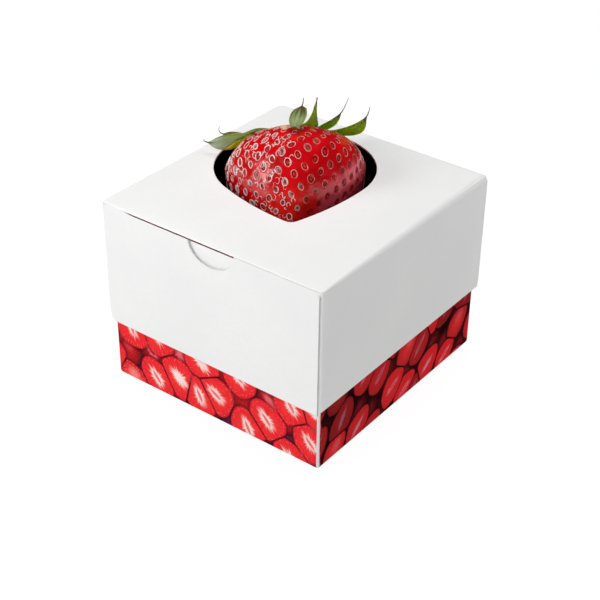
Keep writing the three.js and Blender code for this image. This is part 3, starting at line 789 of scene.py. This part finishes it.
def make_tray():
    width, depth = LID["width"] - 2 * TRAY["inset"], LID["depth"] - 2 * TRAY["inset"]
    outline = Outline(width, depth, (TRAY["corner"], 2.0, TRAY["corner"], 1.6), 40, 10)
    base, normal = outline.ring(0.0)
    side, corner = outline.where()
    count, fold, top = len(base), TRAY["fold"], TRAY["top"]
    # inset and height of each ring: the underside, the fold, the wall, then the rim and the inside
    rings = [(12.0, 0.0), (3.0, 0.0)]
    rings += [(fold * (1 - math.sin(a)), fold * (1 - math.cos(a))) for a in np.radians(np.linspace(0, 90, 7))]
    rings += [(0.0, z) for z in (1.5, 3, 6, 10, 14, 18, 22, 30, 40, top - 0.1)]
    outer = len(rings)
    rings += [(0.08, top), (CARD - 0.08, top), (CARD, top - 0.1), (CARD, 20.0), (CARD, 1.2)]
    rings += [(CARD + 0.4, CARD), (12.0, CARD)]
    points = np.stack([np.column_stack([outline.ring(inset)[0], np.full(count, z)]) for inset, z in rings])
    bow = wall_bow(points, base, side, (83, 88), low=0, tall=top, most=0.10)
    bow[outer:] = 0
    push_in(points, normal, bow)
    faces = shell_faces(len(rings), count) + cap_faces(len(rings), count)
    tray = mesh_object("tray_card", points.reshape(-1, 3), faces, PRINT_LOOK, CARD_SHARP)
    face_outwards(tray)

    # the print is laid by distance round the tray, from the front corner, and by height
    step = np.hypot(*np.diff(base, axis=0, append=base[:1]).T)
    around = np.cumsum(step) - step
    whole = step.sum()
    vertex = loop_vertices(tray)
    u, v = around[vertex % count], points.reshape(-1, 3)[vertex, 2]
    for face in tray.data.polygons:  # the face that closes the ring runs on past its end
        own = slice(face.loop_start, face.loop_start + face.loop_total)
        if face.loop_total == 4 and np.ptp(u[own]) > whole / 2:
            u[own] = np.where(u[own] < whole / 2, u[own] + whole, u[own])
    map_corners(tray, "print", np.column_stack([u, v]))
    value_points(tray, "across", np.tile(np.abs(normal[:, 0]) > np.abs(normal[:, 1]), len(rings)))
    bare = np.ones((len(rings), count))  # the inside, and a strip down the front corner
    bare[:outer] = (corner == 0) * np.exp(-(((normal_angle(normal) + 45) / 26.0) ** 8))
    value_points(tray, "bare", bare)
    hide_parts("tray")


# ---------------------------------------------------------------- fruit


def fruit_radius(h):
    h = np.asarray(h, float)
    drop = np.clip(-h / FRUIT["tip"], 0, 1)
    below = FRUIT["radius"] * (1 - drop ** FRUIT["powers"][0]) ** FRUIT["powers"][1]
    rise = np.clip(h / FRUIT["shoulder"], 0, 1)
    p = FRUIT["shoulder_power"]
    above = FRUIT["radius"] * np.clip(1 - rise**p, 0, None) ** (1 / p)
    return np.where(h < 0, below, above)


def skin(h, turn):
    """Points of the fruit's smooth skin, in its own frame."""
    h, turn = np.asarray(h, float), np.asarray(turn, float)
    height, start, twist = FRUIT["ridge"]
    fade = 1 - (h / np.where(h < 0, FRUIT["tip"], FRUIT["shoulder"])) ** 2
    lobe = np.cos(3 * (turn - np.radians(start + twist * h)))
    r = fruit_radius(h) * (1 + height * fade * lobe)
    deep, wide = FRUIT["dimple"]
    sink = np.where(h > 0, deep * np.exp(-((r / wide) ** 2)), 0)
    return np.stack([r * np.cos(turn), r * np.sin(turn), h - sink], -1)


def skin_normal(h, turn):
    up = skin(h + 0.05, turn) - skin(h - 0.05, turn)
    round_ = skin(h, turn + 0.01) - skin(h, turn - 0.01)
    return unit(np.cross(round_, up))


def heights_of_area(parts):
    """Heights below which lie these parts of the skin's area."""
    h = np.linspace(-FRUIT["tip"], FRUIT["shoulder"], 1201)
    r = fruit_radius(h)
    area = np.concatenate([[0], np.cumsum(np.hypot(np.diff(h), np.diff(r)) * (r[1:] + r[:-1]))])
    return np.interp(parts, area / area[-1], h)


FRUIT_PLACE = (
    Matrix.Translation(Vector(FRUIT["centre"]))
    @ Matrix.Rotation(math.radians(FRUIT["towards"] - 90), 4, "Z")
    @ Matrix.Rotation(math.radians(-FRUIT["lean"]), 4, "X")
)


def to_box(points):
    """Points of the fruit's own frame in the box's."""
    m = np.array(FRUIT_PLACE)
    return np.asarray(points) @ m[:3, :3].T + m[:3, 3]


def above_line(at):
    """How far points lie above a slanting line down the front, over the smooth lower right."""
    return at[:, 2] + 9.9 - 0.93 * (at[:, 0] - 6.5)


def seed_sites():
    """Of each seed: height, place, normal, directions along and across, size, paleness of its lip,
    which is painted highlight, and depth of its pit."""
    n = np.arange(SEED_PLACES)
    h = heights_of_area((n + 0.5) / SEED_PLACES)
    turn = n * math.radians(180 * (3 - math.sqrt(5)))
    at = skin(h, turn)
    keep = ~((h > 0) & (np.hypot(at[:, 0], at[:, 1]) < CROWN_CLEAR))
    h, turn, at = h[keep], turn[keep], at[keep]
    normal = skin_normal(h, turn)
    round_ = np.stack([-np.sin(turn), np.cos(turn), np.zeros_like(turn)], 1)
    along = unit(np.cross(normal, round_))
    across = np.cross(along, normal)
    spin = RNG.normal(0, math.radians(13), len(h))[:, None]
    along, across = along * np.cos(spin) + across * np.sin(spin), across * np.cos(spin) - along * np.sin(spin)
    size = RNG.uniform(0.82, 1.12, len(h)) * np.interp(h, (-22, -8, 4, 12), (0.74, 0.92, 1.06, 0.92))
    # painted highlight: lips are pale above the line down the front, where light falls, dull below it,
    # and catch light again round the far right
    pale = np.where(at[:, 0] > 19, 0.42, 0.06 + 0.90 * smooth(above_line(at), -1.5, 1.5))
    # painted highlight, stronger towards the left
    pale *= RNG.uniform(0.6, 1.0, len(h)) * (0.62 + 0.38 * smooth(-at[:, 0], -5, 2))
    return dict(at=at, normal=normal, along=along, across=across, size=size, pale=pale,
                depth=RNG.uniform(0.8, 1.2, len(h)))


SEEDS = seed_sites()
SEEDS_FROM = 50  # seeds lower than this height in the box are left out; the insert's top is at 47
FINE_FROM = 60.5  # the skin's mesh is finer above this height in the box
PIT = dict(depth=0.42, across=0.84, along=1.18)  # depth and half widths of a seed's pit
# the ridge down the fruit's front: height in the fruit's frame, and turn in degrees
RIDGE = ((-37, -16.5, -8, 0, 5, 11, 14), (-115, -95.4, -84.5, -75.9, -68.6, -41, -20))
RIDGE_SIZE = dict(height=1.3, width=6.5, blunt=1.4)
# shallow hollows in the shoulder: middle, spread and push
HOLLOWS = (((-21.5, -2, 4), 8.0, -1.1), ((7.6, -7.2, 12.3), 5.0, -0.5), ((-7.5, -6.8, 12.4), 3.0, -0.4))
# patches on the front of the shoulder: x, z, half width, half height, colour, strength
PATCHES = [
    (-3.6, 12.2, 2.3, 2.1, (250, 222, 170), 0.95), (-1.0, 12.4, 3.0, 2.2, (226, 140, 40), 0.8),
    (-12.6, 11.4, 3.2, 0.9, (240, 176, 120), 0.7), (-8.8, 12.2, 2.2, 1.4, (236, 120, 104), 0.55),
    (2.8, 12.6, 3.0, 1.1, (176, 30, 20), 0.6), (9.0, 11.6, 3.6, 1.2, (150, 10, 22), 0.5),
]


def relief(at, h, turn):
    """How far the real skin lies outside the smooth one: swellings, hollows and the front ridge."""
    swell = noise_at(at, 0.11, 3.0) * 0.22 + noise_at(at, 0.33, 8.0) * 0.10
    for spot, spread, push in HOLLOWS:
        swell += push * np.exp(-(((at - spot) ** 2).sum(1)) / spread**2)
    turned = (turn - np.radians(np.interp(h, *RIDGE)) + np.pi) % (2 * np.pi) - np.pi
    blunt = RIDGE_SIZE["blunt"]
    away = np.hypot(np.abs(turned) * fruit_radius(h), blunt) - blunt
    crest = RIDGE_SIZE["height"] * np.exp(-away / RIDGE_SIZE["width"])
    return swell + crest * smooth(h, 11, 2) * smooth(h, -34, -24)


def flesh_look():
    s = Shader("fruit_skin_look")
    place = s.place()
    tone = s.attribute("tone")
    mottle = s.noise(place, 420.0, 3.0, 0.6)
    streaks = s.noise(place, 230.0, 3.0, 0.65)
    fine = s.noise(place, 1900.0, 3.0, 0.6)
    ripple = s.noise(place, 560.0, 2.0, 0.55)
    colour = s.mix(s.band(mottle, 0.40, 0.72, 0.0, 0.30), tone, s.tinted(tone, (0.72, 0.5, 0.6)))
    colour = s.mix(s.band(streaks, 0.48, 0.66, 0.0, 0.5), colour, s.tinted(tone, (0.62, 0.3, 0.5)))
    height = s.plus(ripple, s.times(fine, 0.16))
    return s.surface(
        Base_Color=colour, Roughness=s.band(fine, 0.3, 0.75, 0.10, 0.20), Normal=s.bump(height, 2.0e-4, 0.75),
        Specular_IOR_Level=0.62, Subsurface_Weight=0.3, Subsurface_Radius=(0.0022, 0.0004, 0.0003),
        Subsurface_Scale=1.0,
    )


def seed_look():
    s = Shader("seed_look")
    tone = s.attribute("tone")
    fine = s.noise(s.place(), 3200.0, 2.0)
    colour = s.mix(s.band(fine, 0.35, 0.7, 0.0, 0.4), tone, s.tinted(tone, (0.72, 0.62, 0.5)))
    return s.surface(Base_Color=colour, Roughness=0.28, Normal=s.bump(fine, 4e-5, 0.6),
                     Specular_IOR_Level=0.55, Coat_Weight=0.6, Coat_Roughness=0.06)


def flesh_ball():
    """Points and faces of a ball, finer where the fruit stands above the lid."""
    ball = bmesh.new()
    bmesh.ops.create_icosphere(ball, subdivisions=7, radius=1.0)
    high = to_box(skin(*ball_to_skin(np.array([v.co for v in ball.verts]))))[:, 2] > FINE_FROM
    ball.verts.ensure_lookup_table()
    edges = [e for e in ball.edges if high[e.verts[0].index] and high[e.verts[1].index]]
    bmesh.ops.subdivide_edges(ball, edges=edges, cuts=1, use_grid_fill=True)
    bmesh.ops.triangulate(ball, faces=[f for f in ball.faces if len(f.verts) > 4])
    ball.verts.index_update()
    points = np.array([v.co for v in ball.verts])
    faces = [tuple(v.index for v in f.verts) for f in ball.faces]
    ball.free()
    return points, faces


def ball_to_skin(points):
    """Height and turn on the fruit of points on the ball, spread evenly over its skin."""
    points = unit(points)
    h = heights_of_area((np.clip(points[:, 2], -1, 1) + 1) / 2)
    return h, np.arctan2(points[:, 1], points[:, 0])


def pits(at):
    """How deep each point lies in the pits, and its distance from the nearest seed, about 1 at the
    pit's edge."""
    tree = kdtree.KDTree(len(SEEDS["at"]))
    for i, place in enumerate(SEEDS["at"]):
        tree.insert(place, i)
    tree.balance()
    near = np.array([[hit[1] for hit in tree.find_n(p, 2)] for p in at])
    sink, distances = np.zeros(len(at)), []
    for k in near.T:
        rel = at - SEEDS["at"][k]
        a, b = (
            np.einsum("ij,ij->i", rel, SEEDS[way][k]) / (PIT[way] * SEEDS["size"][k])
            for way in ("across", "along")
        )
        rho = np.hypot(a, b)
        sink += PIT["depth"] * SEEDS["depth"][k] * np.exp(-(rho**3.6) * 0.8)
        sink -= 0.05 * np.exp(-(((rho - 1.5) / 0.35) ** 2))
        distances.append(rho)
    return sink, distances[0]


def flesh_tone(at, h, rho):
    """Deep glossy red, with pale places by the crown, painted shade in the pits, a painted reflection of the
    lid over the lower right and painted light low on the front.
    """
    x, y, z = at.T
    tone = towards(linear(208, 5, 18), linear(226, 11, 22), smooth(noise_at(at, 0.16, 21.0), -0.1, 0.5))
    # painted shade: darker red in the pits
    tone = towards(tone, linear(160, 4, 16), 0.6 * (1 - smooth(rho, 0.5, 1.1)))
    crown = np.hypot(x, y) + 1.8 * noise_at(at, 0.45, 5.0)
    tone = towards(tone, linear(238, 186, 120), smooth(h, 2, 8) * (1 - smooth(crown, 4.0, 7.0)))
    ragged = 0.30 * noise_at(at, 0.9, 15.0)
    for patch_x, patch_z, wide, tall, rgb, strength in PATCHES:
        away = np.hypot((x - patch_x) / wide, (z - patch_z) / tall) + ragged
        tone = towards(tone, linear(*rgb), strength * (y < 0) * (1 - smooth(away, 0.45, 1.15)))
    # painted reflection: the lid's white top, as a pinkish grey over the lower right
    painted_lid_reflection = (y < 4) * smooth(-above_line(at), -1.0, 4.0) * smooth(x, 1.0, 7.0) * smooth(rho, 0.7, 1.1)
    tone = towards(tone, linear(236, 104, 122), 0.6 * painted_lid_reflection)
    # painted light: brighter red low on the front, which lies in the shade of the lid's edge
    low = (y < 0) * smooth(-z, 6.0, 13.0) * (1 - smooth(np.abs(x + 1.5), 5.0, 10.0))
    return towards(tone, linear(252, 34, 28), low * smooth(rho, 0.6, 1.0))


def make_flesh():
    ball, faces = flesh_ball()
    h, turn = ball_to_skin(ball)
    at = skin(h, turn)
    normal = skin_normal(h, turn)
    pole = np.abs(unit(ball)[:, 2]) > 0.9995  # too near the axis for a normal from its neighbours
    normal[pole] = np.sign(ball[pole, 2:3]) * np.array((0, 0, 1.0))
    sink, rho = pits(at)
    at = at + normal * (relief(at, h, turn) - sink)[:, None]
    flesh = mesh_object("fruit_flesh", to_box(at), faces, flesh_look(), 80)
    colour_points(flesh, "tone", flesh_tone(at, h, rho))
    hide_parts("strawberry")


SEED_HALF = dict(along=0.60, across=0.32, up=0.20)  # half sizes of a seed
TAN, BLUSH, FLESH = linear(196, 96, 52), linear(190, 30, 26), linear(176, 12, 22)
# colours of the painted highlight on the seeds' lips
CREAM, BUTTER = linear(255, 250, 246), linear(250, 206, 176)


def seed_rings(seed, depth):
    """A seed, blunter at its lower end, low in its pit."""
    polar = np.linspace(0, math.pi, 7)[:, None, None]
    angle = circle(10)[:, None]
    end = -np.cos(polar)
    girth = np.sin(polar) * (1 - 0.28 * end)
    return (
        seed["at"] - seed["normal"] * (depth - 0.10)
        + seed["along"] * (SEED_HALF["along"] * seed["size"] * end)
        + seed["across"] * (SEED_HALF["across"] * seed["size"] * girth * np.cos(angle))
        + seed["normal"] * (SEED_HALF["up"] * girth * np.sin(angle))
    )


def lip_rings(k, seed, depth, highlight_zone, shrink, weight, aside, onward):
    """A thin loop round a seed, or aside of it, broken in one place, with its colours: flesh red, painted
    pale as a highlight.
    """
    across, along = seed["across"], seed["along"]
    a_half = PIT["across"] * 1.12 * seed["size"] * shrink
    b_half = PIT["along"] * 1.10 * seed["size"] * shrink
    thick = RNG.uniform(0.095, 0.15) * weight
    phase, break_at = RNG.uniform(0, 2 * math.pi, 2)
    gap = RNG.uniform(0.2, 1.0) if aside == 0 else RNG.uniform(0.9, 1.5)
    lean = RNG.uniform(-0.25, 0.25)
    # the painted highlight's colour, whiter in the highlight zone
    tint = towards(BUTTER, CREAM, min(RNG.uniform(0.2, 1.0) + highlight_zone, 1))
    angle = circle(24)
    c, s = np.cos(angle), np.sin(angle)
    steps = list(zip(c, s))
    wander = 1 + 0.13 * noise_grid(lambda at, _: (at[0] * 1.3 + 5 * k, at[1] * 1.3, phase), steps, [0])[:, 0]
    uneven = noise_grid(lambda at, _: (at[0] * 2.1, at[1] * 2.1 + 3 * k, 2 + phase), steps, [0])[:, 0]
    broken = 1 - gap * np.maximum(0, np.cos(angle - break_at)) ** 3
    strong = broken * (0.75 + 0.5 * uneven)
    ring = across * (aside + a_half * (c + lean * s * 0.5) * wander)[:, None]
    ring = ring + along * (onward + b_half * s * wander)[:, None]
    fall = (ring**2).sum(1) / 40  # the lip lies on the curved skin
    sunk = (1 - shrink) * depth * 0.9 if aside == 0 else 0.0
    lift = -fall - 0.05 - sunk - 0.16 * np.maximum(0, 0.6 - strong)
    centre = seed["at"] + ring + seed["normal"] * lift[:, None]
    out = across * c[:, None] + along * s[:, None]
    width = thick * (0.45 + 0.6 * np.maximum(strong, 0))
    # painted highlight: how far the lip goes from flesh red to the pale tint
    pale = np.clip((seed["pale"] + 0.2 * highlight_zone) * strong * 1.35 - 0.12, 0, 1)
    return tube(centre, out, seed["normal"], width, 5), towards(FLESH, tint, pale)[:, None, :]


def make_seeds():
    """Each seed lies low in its pit, inside a glossy lip that is painted pale as a highlight and broken here
    and there.
    """
    shells = Shells()
    for k in range(len(SEEDS["at"])):
        seed = {key: values[k] for key, values in SEEDS.items()}
        if to_box(seed["at"])[2] < SEEDS_FROM:
            continue
        depth = PIT["depth"] * seed["depth"]
        x, y, z = seed["at"]
        # where the glint falls, on the left of the front, lips get more painted highlight
        highlight_zone = smooth(-x, 0.5, 4.0) * smooth(-y, 1.0, 5.0) * smooth(9.5 - z, 0.0, 3.0)
        shells.add(seed_rings(seed, depth), towards(BLUSH, TAN, RNG.uniform(0.0, 0.4)))
        # size, weight, and how far aside and onward of the seed each loop lies
        loops = [(1.0, 1.0 + 0.35 * highlight_zone, 0.0, 0.0)]
        if RNG.random() < 0.3:
            loops.append((RNG.uniform(0.5, 0.72), 0.75, 0.0, 0.0))
        # where the highlight is strongest, light also breaks into loops and hooks between the seeds, painted
        # pale
        for _ in range(RNG.binomial(4, 0.55 * highlight_zone)):
            away, heading = RNG.uniform(1.1, 2.4), RNG.uniform(0, 2 * math.pi)
            size, weight = RNG.uniform(0.28, 0.8), RNG.uniform(0.9, 1.4)
            loops.append((size, weight, away * math.cos(heading), away * math.sin(heading)))
        for loop in loops:
            rings, tones = lip_rings(k, seed, depth, highlight_zone, *loop)
            shells.add(rings, tones, close_rows=True)
    verts = np.array(shells.verts)
    turn = np.arctan2(verts[:, 1], verts[:, 0])
    h = np.clip(verts[:, 2], -FRUIT["tip"] + 0.1, FRUIT["shoulder"] - 0.1)
    verts += skin_normal(h, turn) * relief(verts, h, turn)[:, None]
    seeds = mesh_object("fruit_seeds", to_box(verts), shells.faces, seed_look(), 80)
    colour_points(seeds, "tone", np.array(shells.tones))
    face_outwards(seeds, merge=1e-4)


# ---------------------------------------------------------------- calyx

LEAF_TONES = {  # face, edge, root, and the tip where it dries
    # A's face: grey-green, made pale and bluish by a painted sheen
    "A": ((194, 208, 208), (108, 134, 88), (170, 184, 80), (100, 120, 70)),
    "A2": ((196, 190, 40), (150, 150, 24), (214, 206, 90), (190, 160, 60)),
    "B": ((112, 116, 20), (80, 90, 16), (190, 190, 60), (84, 60, 40)),
    "C": ((132, 128, 92), (92, 104, 56), (150, 170, 100), (150, 120, 104)),
    "D": ((148, 168, 122), (92, 122, 46), (214, 226, 170), (60, 48, 34)),
    "E": ((120, 142, 20), (78, 104, 12), (196, 200, 60), (60, 76, 24)),
    "F": ((108, 142, 18), (74, 104, 12), (196, 200, 60), (70, 52, 34)),
    "G": ((112, 146, 10), (74, 108, 8), (190, 200, 60), (64, 50, 30)),
}
BLADE = dict(along=34, across=12, least_half=0.16, thick=0.36)
HAIR = dict(steps=15, around=6, radius=0.20, taper=0.62)
SIDE_GAP = 3.0  # between the texture places of a blade's two sides


def leaf_look():
    s = Shader("green_leaf_look")
    tone = s.attribute("tone")
    flat = s.node("UVMap", uv_map="leaf").outputs[0]
    drawn_out = s.node("Mapping", {"Vector": flat, "Scale": (8.0, 38.0, 1.0)}).outputs[0]
    veins = s.noise(drawn_out, 1.0, 3.0, 0.6)
    speck = s.noise(s.place(), 2400.0, 2.0, 0.7)
    colour = s.mix(s.band(veins, 0.40, 0.64, 0.0, 0.6), tone, s.tinted(tone, (0.46, 0.54, 0.32)))
    colour = s.mix(s.band(speck, 0.45, 0.75, 0.0, 0.3), colour, s.mix(0.35, tone, (0.66, 0.72, 0.56)))
    height = s.plus(veins, s.times(speck, 0.3))
    return s.surface(
        Base_Color=colour, Roughness=s.band(speck, 0.3, 0.7, 0.45, 0.65), Normal=s.bump(height, 1.2e-4, 0.8),
        Specular_IOR_Level=0.3, Subsurface_Weight=0.6, Subsurface_Radius=(0.0016, 0.0020, 0.0006),
        Subsurface_Scale=1.0,
    )


def dry_look():
    s = Shader("dry_hair_look")
    grain = s.noise(s.place(), 1500.0, 3.0)
    colour = s.mix(grain, tuple(linear(40, 24, 20)), tuple(linear(112, 74, 54)))
    return s.surface(Base_Color=colour, Roughness=0.7, Normal=s.bump(grain, 5e-5, 0.7))


def bezier(points, t):
    row = [np.asarray(p, float)[None, :] for p in points]
    t = np.asarray(t, float)[:, None]
    while len(row) > 1:
        row = [a + (b - a) * t for a, b in zip(row, row[1:])]
    return row[0]


def sepal_frame(t, points, roll):
    """Middle line of a sepal, and the directions across it and out of its face."""
    at = bezier(points, t)
    heading = unit(np.gradient(at, axis=0))
    outward = at[-1] - at[0]
    flat = unit(np.array((-outward[1], outward[0], 0.0)))
    across = unit(flat - heading * (heading @ flat)[:, None])
    angle = np.radians(roll * t**2)[:, None]
    across = across * np.cos(angle) + np.cross(heading, across) * np.sin(angle)
    return at, across, np.cross(heading, across)


def both_sides(upper, lower):
    """A blade's section as one closed ring: over the upper side and back under the lower."""
    return np.concatenate([upper, lower[:, ::-1]], axis=1)


def blade_tone(index, name, t, v):
    """Colours over a blade: its edge, patches, paler root and dry tip."""
    main, edge, root, tip = (linear(*c) for c in LEAF_TONES.get(name, LEAF_TONES["F"]))
    mottled = noise_grid(lambda a, b: (2.7 * a + index, 3.0 * b, 0.4), t, v)
    along = np.repeat(t[:, None], len(v), 1)
    tone = towards(main, edge, 0.8 * smooth(np.abs(v), 0.45, 1.0) * np.ones_like(along))
    tone = towards(tone, edge, 0.5 * smooth(mottled, 0.0, 0.6))
    tone = towards(tone, root, 0.9 * (1 - smooth(along, 0.04, 0.30)))
    return towards(tone, tip, smooth(along + 0.10 * mottled, 0.84, 0.98))


def add_blade(shells, uvs, index, t, way, shape, name):
    """One sepal's blade, thin and cupped, with a fold down its middle and a ragged edge."""
    at, across, face = way
    width, cup, skew, fullness = shape
    swell = np.clip(np.sin(np.pi * (0.07 + 0.93 * t**skew)), 0, None) ** fullness
    half = np.maximum(width / 2 * swell, BLADE["least_half"])
    v = np.linspace(-1, 1, BLADE["across"] + 1)
    ragged = 1 + 0.05 * noise_grid(lambda a, b: (3.1 * index + 9 * a, 4.0 * np.sign(b), 1.5), t, v)
    lift = cup * v**2 + 0.18 * v**2 * np.sin(9 * t[:, None] + 2 * v)
    lift = lift - 0.16 * np.exp(-((v / 0.16) ** 2)) * swell[:, None]
    lift = lift * np.minimum(half, 1)[:, None]
    thick = BLADE["thick"] * (1 - 0.65 * v**4) * (1 - 0.4 * t[:, None])
    aside = (v * half[:, None] * ragged)[:, :, None]
    upper, lower = (
        at[:, None, :] + across[:, None, :] * aside + face[:, None, :] * (lift + part * thick)[:, :, None]
        for part in (0.5, -0.5)
    )
    tone = blade_tone(index, name, t, v)
    ring = 2 * len(v)
    start = shells.add(both_sides(upper, lower), both_sides(tone, tone))
    root_end, tip_end = (
        [(r + q, r + q + 1, r + ring - 2 - q, r + ring - 1 - q) for q in range(len(v) - 1)]
        for r in (start, start + (len(t) - 1) * ring)
    )
    shells.faces += [quad[::-1] for quad in root_end] + tip_end
    uv = np.stack(np.broadcast_arrays(t[:, None], v * 0.5), -1)
    uvs.extend(both_sides(uv, uv + (0, SIDE_GAP)).reshape(-1, 2) + (index * 5.0, 0))


def add_hair(shells, index, before, turning, end, tip):
    """The dry hair that runs on from a blade, from a point just before its end."""
    end = np.array(end, float)
    lead = end + (end - turning) * 0.15
    s = np.linspace(-0.12, 1, HAIR["steps"])
    line = bezier((end, lead, tip), np.clip(s, 0, 1))
    line[0] = before
    line[1:-1] += 0.16 * noise_grid(lambda a, c: (a * 3, index * 7.0, c * 5.0), s[1:-1], range(3))
    tangent = unit(np.gradient(line, axis=0))
    side = unit(np.cross(tangent, (0.31, 0.2, 0.93)))
    radius = HAIR["radius"] * (1 - HAIR["taper"] * np.clip(s, 0, 1))
    shells.add(tube(line, side, np.cross(tangent, side), radius, HAIR["around"]), capped=True)


def make_sepals(leaf):
    blades, hairs, uvs = Shells(), Shells(), []
    t = np.linspace(0, 1, BLADE["along"] + 1)
    for index, (root, bend, turning, end, tip, width, roll, cup, skew, fullness, name) in enumerate(SEPALS):
        way = sepal_frame(t, (root, bend, turning, end), roll)
        add_blade(blades, uvs, index, t, way, (width, cup, skew, fullness), name)
        add_hair(hairs, index, way[0][-3], turning, end, tip)
    sepals = mesh_object("sepals", to_box(blades.verts), blades.faces, leaf, 60)
    colour_points(sepals, "tone", np.array(blades.tones))
    map_corners(sepals, "leaf", np.array(uvs)[loop_vertices(sepals)])
    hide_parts("calyx")
    hair_piece = mesh_object("sepal_hairs", to_box(hairs.verts), hairs.faces, dry_look(), 80)
    return sepals, hair_piece


def make_hub(leaf):
    """The ribbed hub that the sepals grow from, and the stalk's stub."""
    foot = FRUIT["shoulder"] - FRUIT["dimple"][0] + HUB["gap"]
    r, tall, sr, sl = HUB["radius"], HUB["height"], HUB["stalk_radius"], HUB["stalk_length"]
    profile = np.array([
        (0.01, 0), (r * 0.62, tall * 0.16), (r, tall * 0.42), (r * 1.02, tall * 0.6), (r, tall * 0.76),
        (sr * 1.4, tall * 0.97), (sr, tall * 1.1), (sr * 0.9, tall + sl * 0.8), (sr * 0.75, tall + sl),
        (0.01, tall + sl * 0.93),
    ])
    radius, height = profile[:, 0, None], profile[:, 1, None]
    angle = circle(30)[None, :]
    radius = radius * (1 + 0.05 * np.cos(9 * angle) * (radius > 1.5))
    rings = np.stack(np.broadcast_arrays(radius * np.cos(angle), radius * np.sin(angle), foot + height), -1)
    tone = np.where((height < tall * 1.05)[:, :, None], linear(122, 140, 50), linear(150, 140, 90))
    shells = Shells()
    shells.add(rings, tone, capped=True)
    hub = mesh_object("calyx_hub", to_box(shells.verts), shells.faces, leaf, 50)
    colour_points(hub, "tone", np.array(shells.tones))
    return hub


make_lid()
make_flap()
make_tray()
make_flesh()
make_seeds()
leaf_material = leaf_look()
for piece in (*make_sepals(leaf_material), make_hub(leaf_material)):
    face_outwards(piece)

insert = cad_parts["insert"]
insert.data.materials.clear()
insert.data.materials.append(near_black_well())
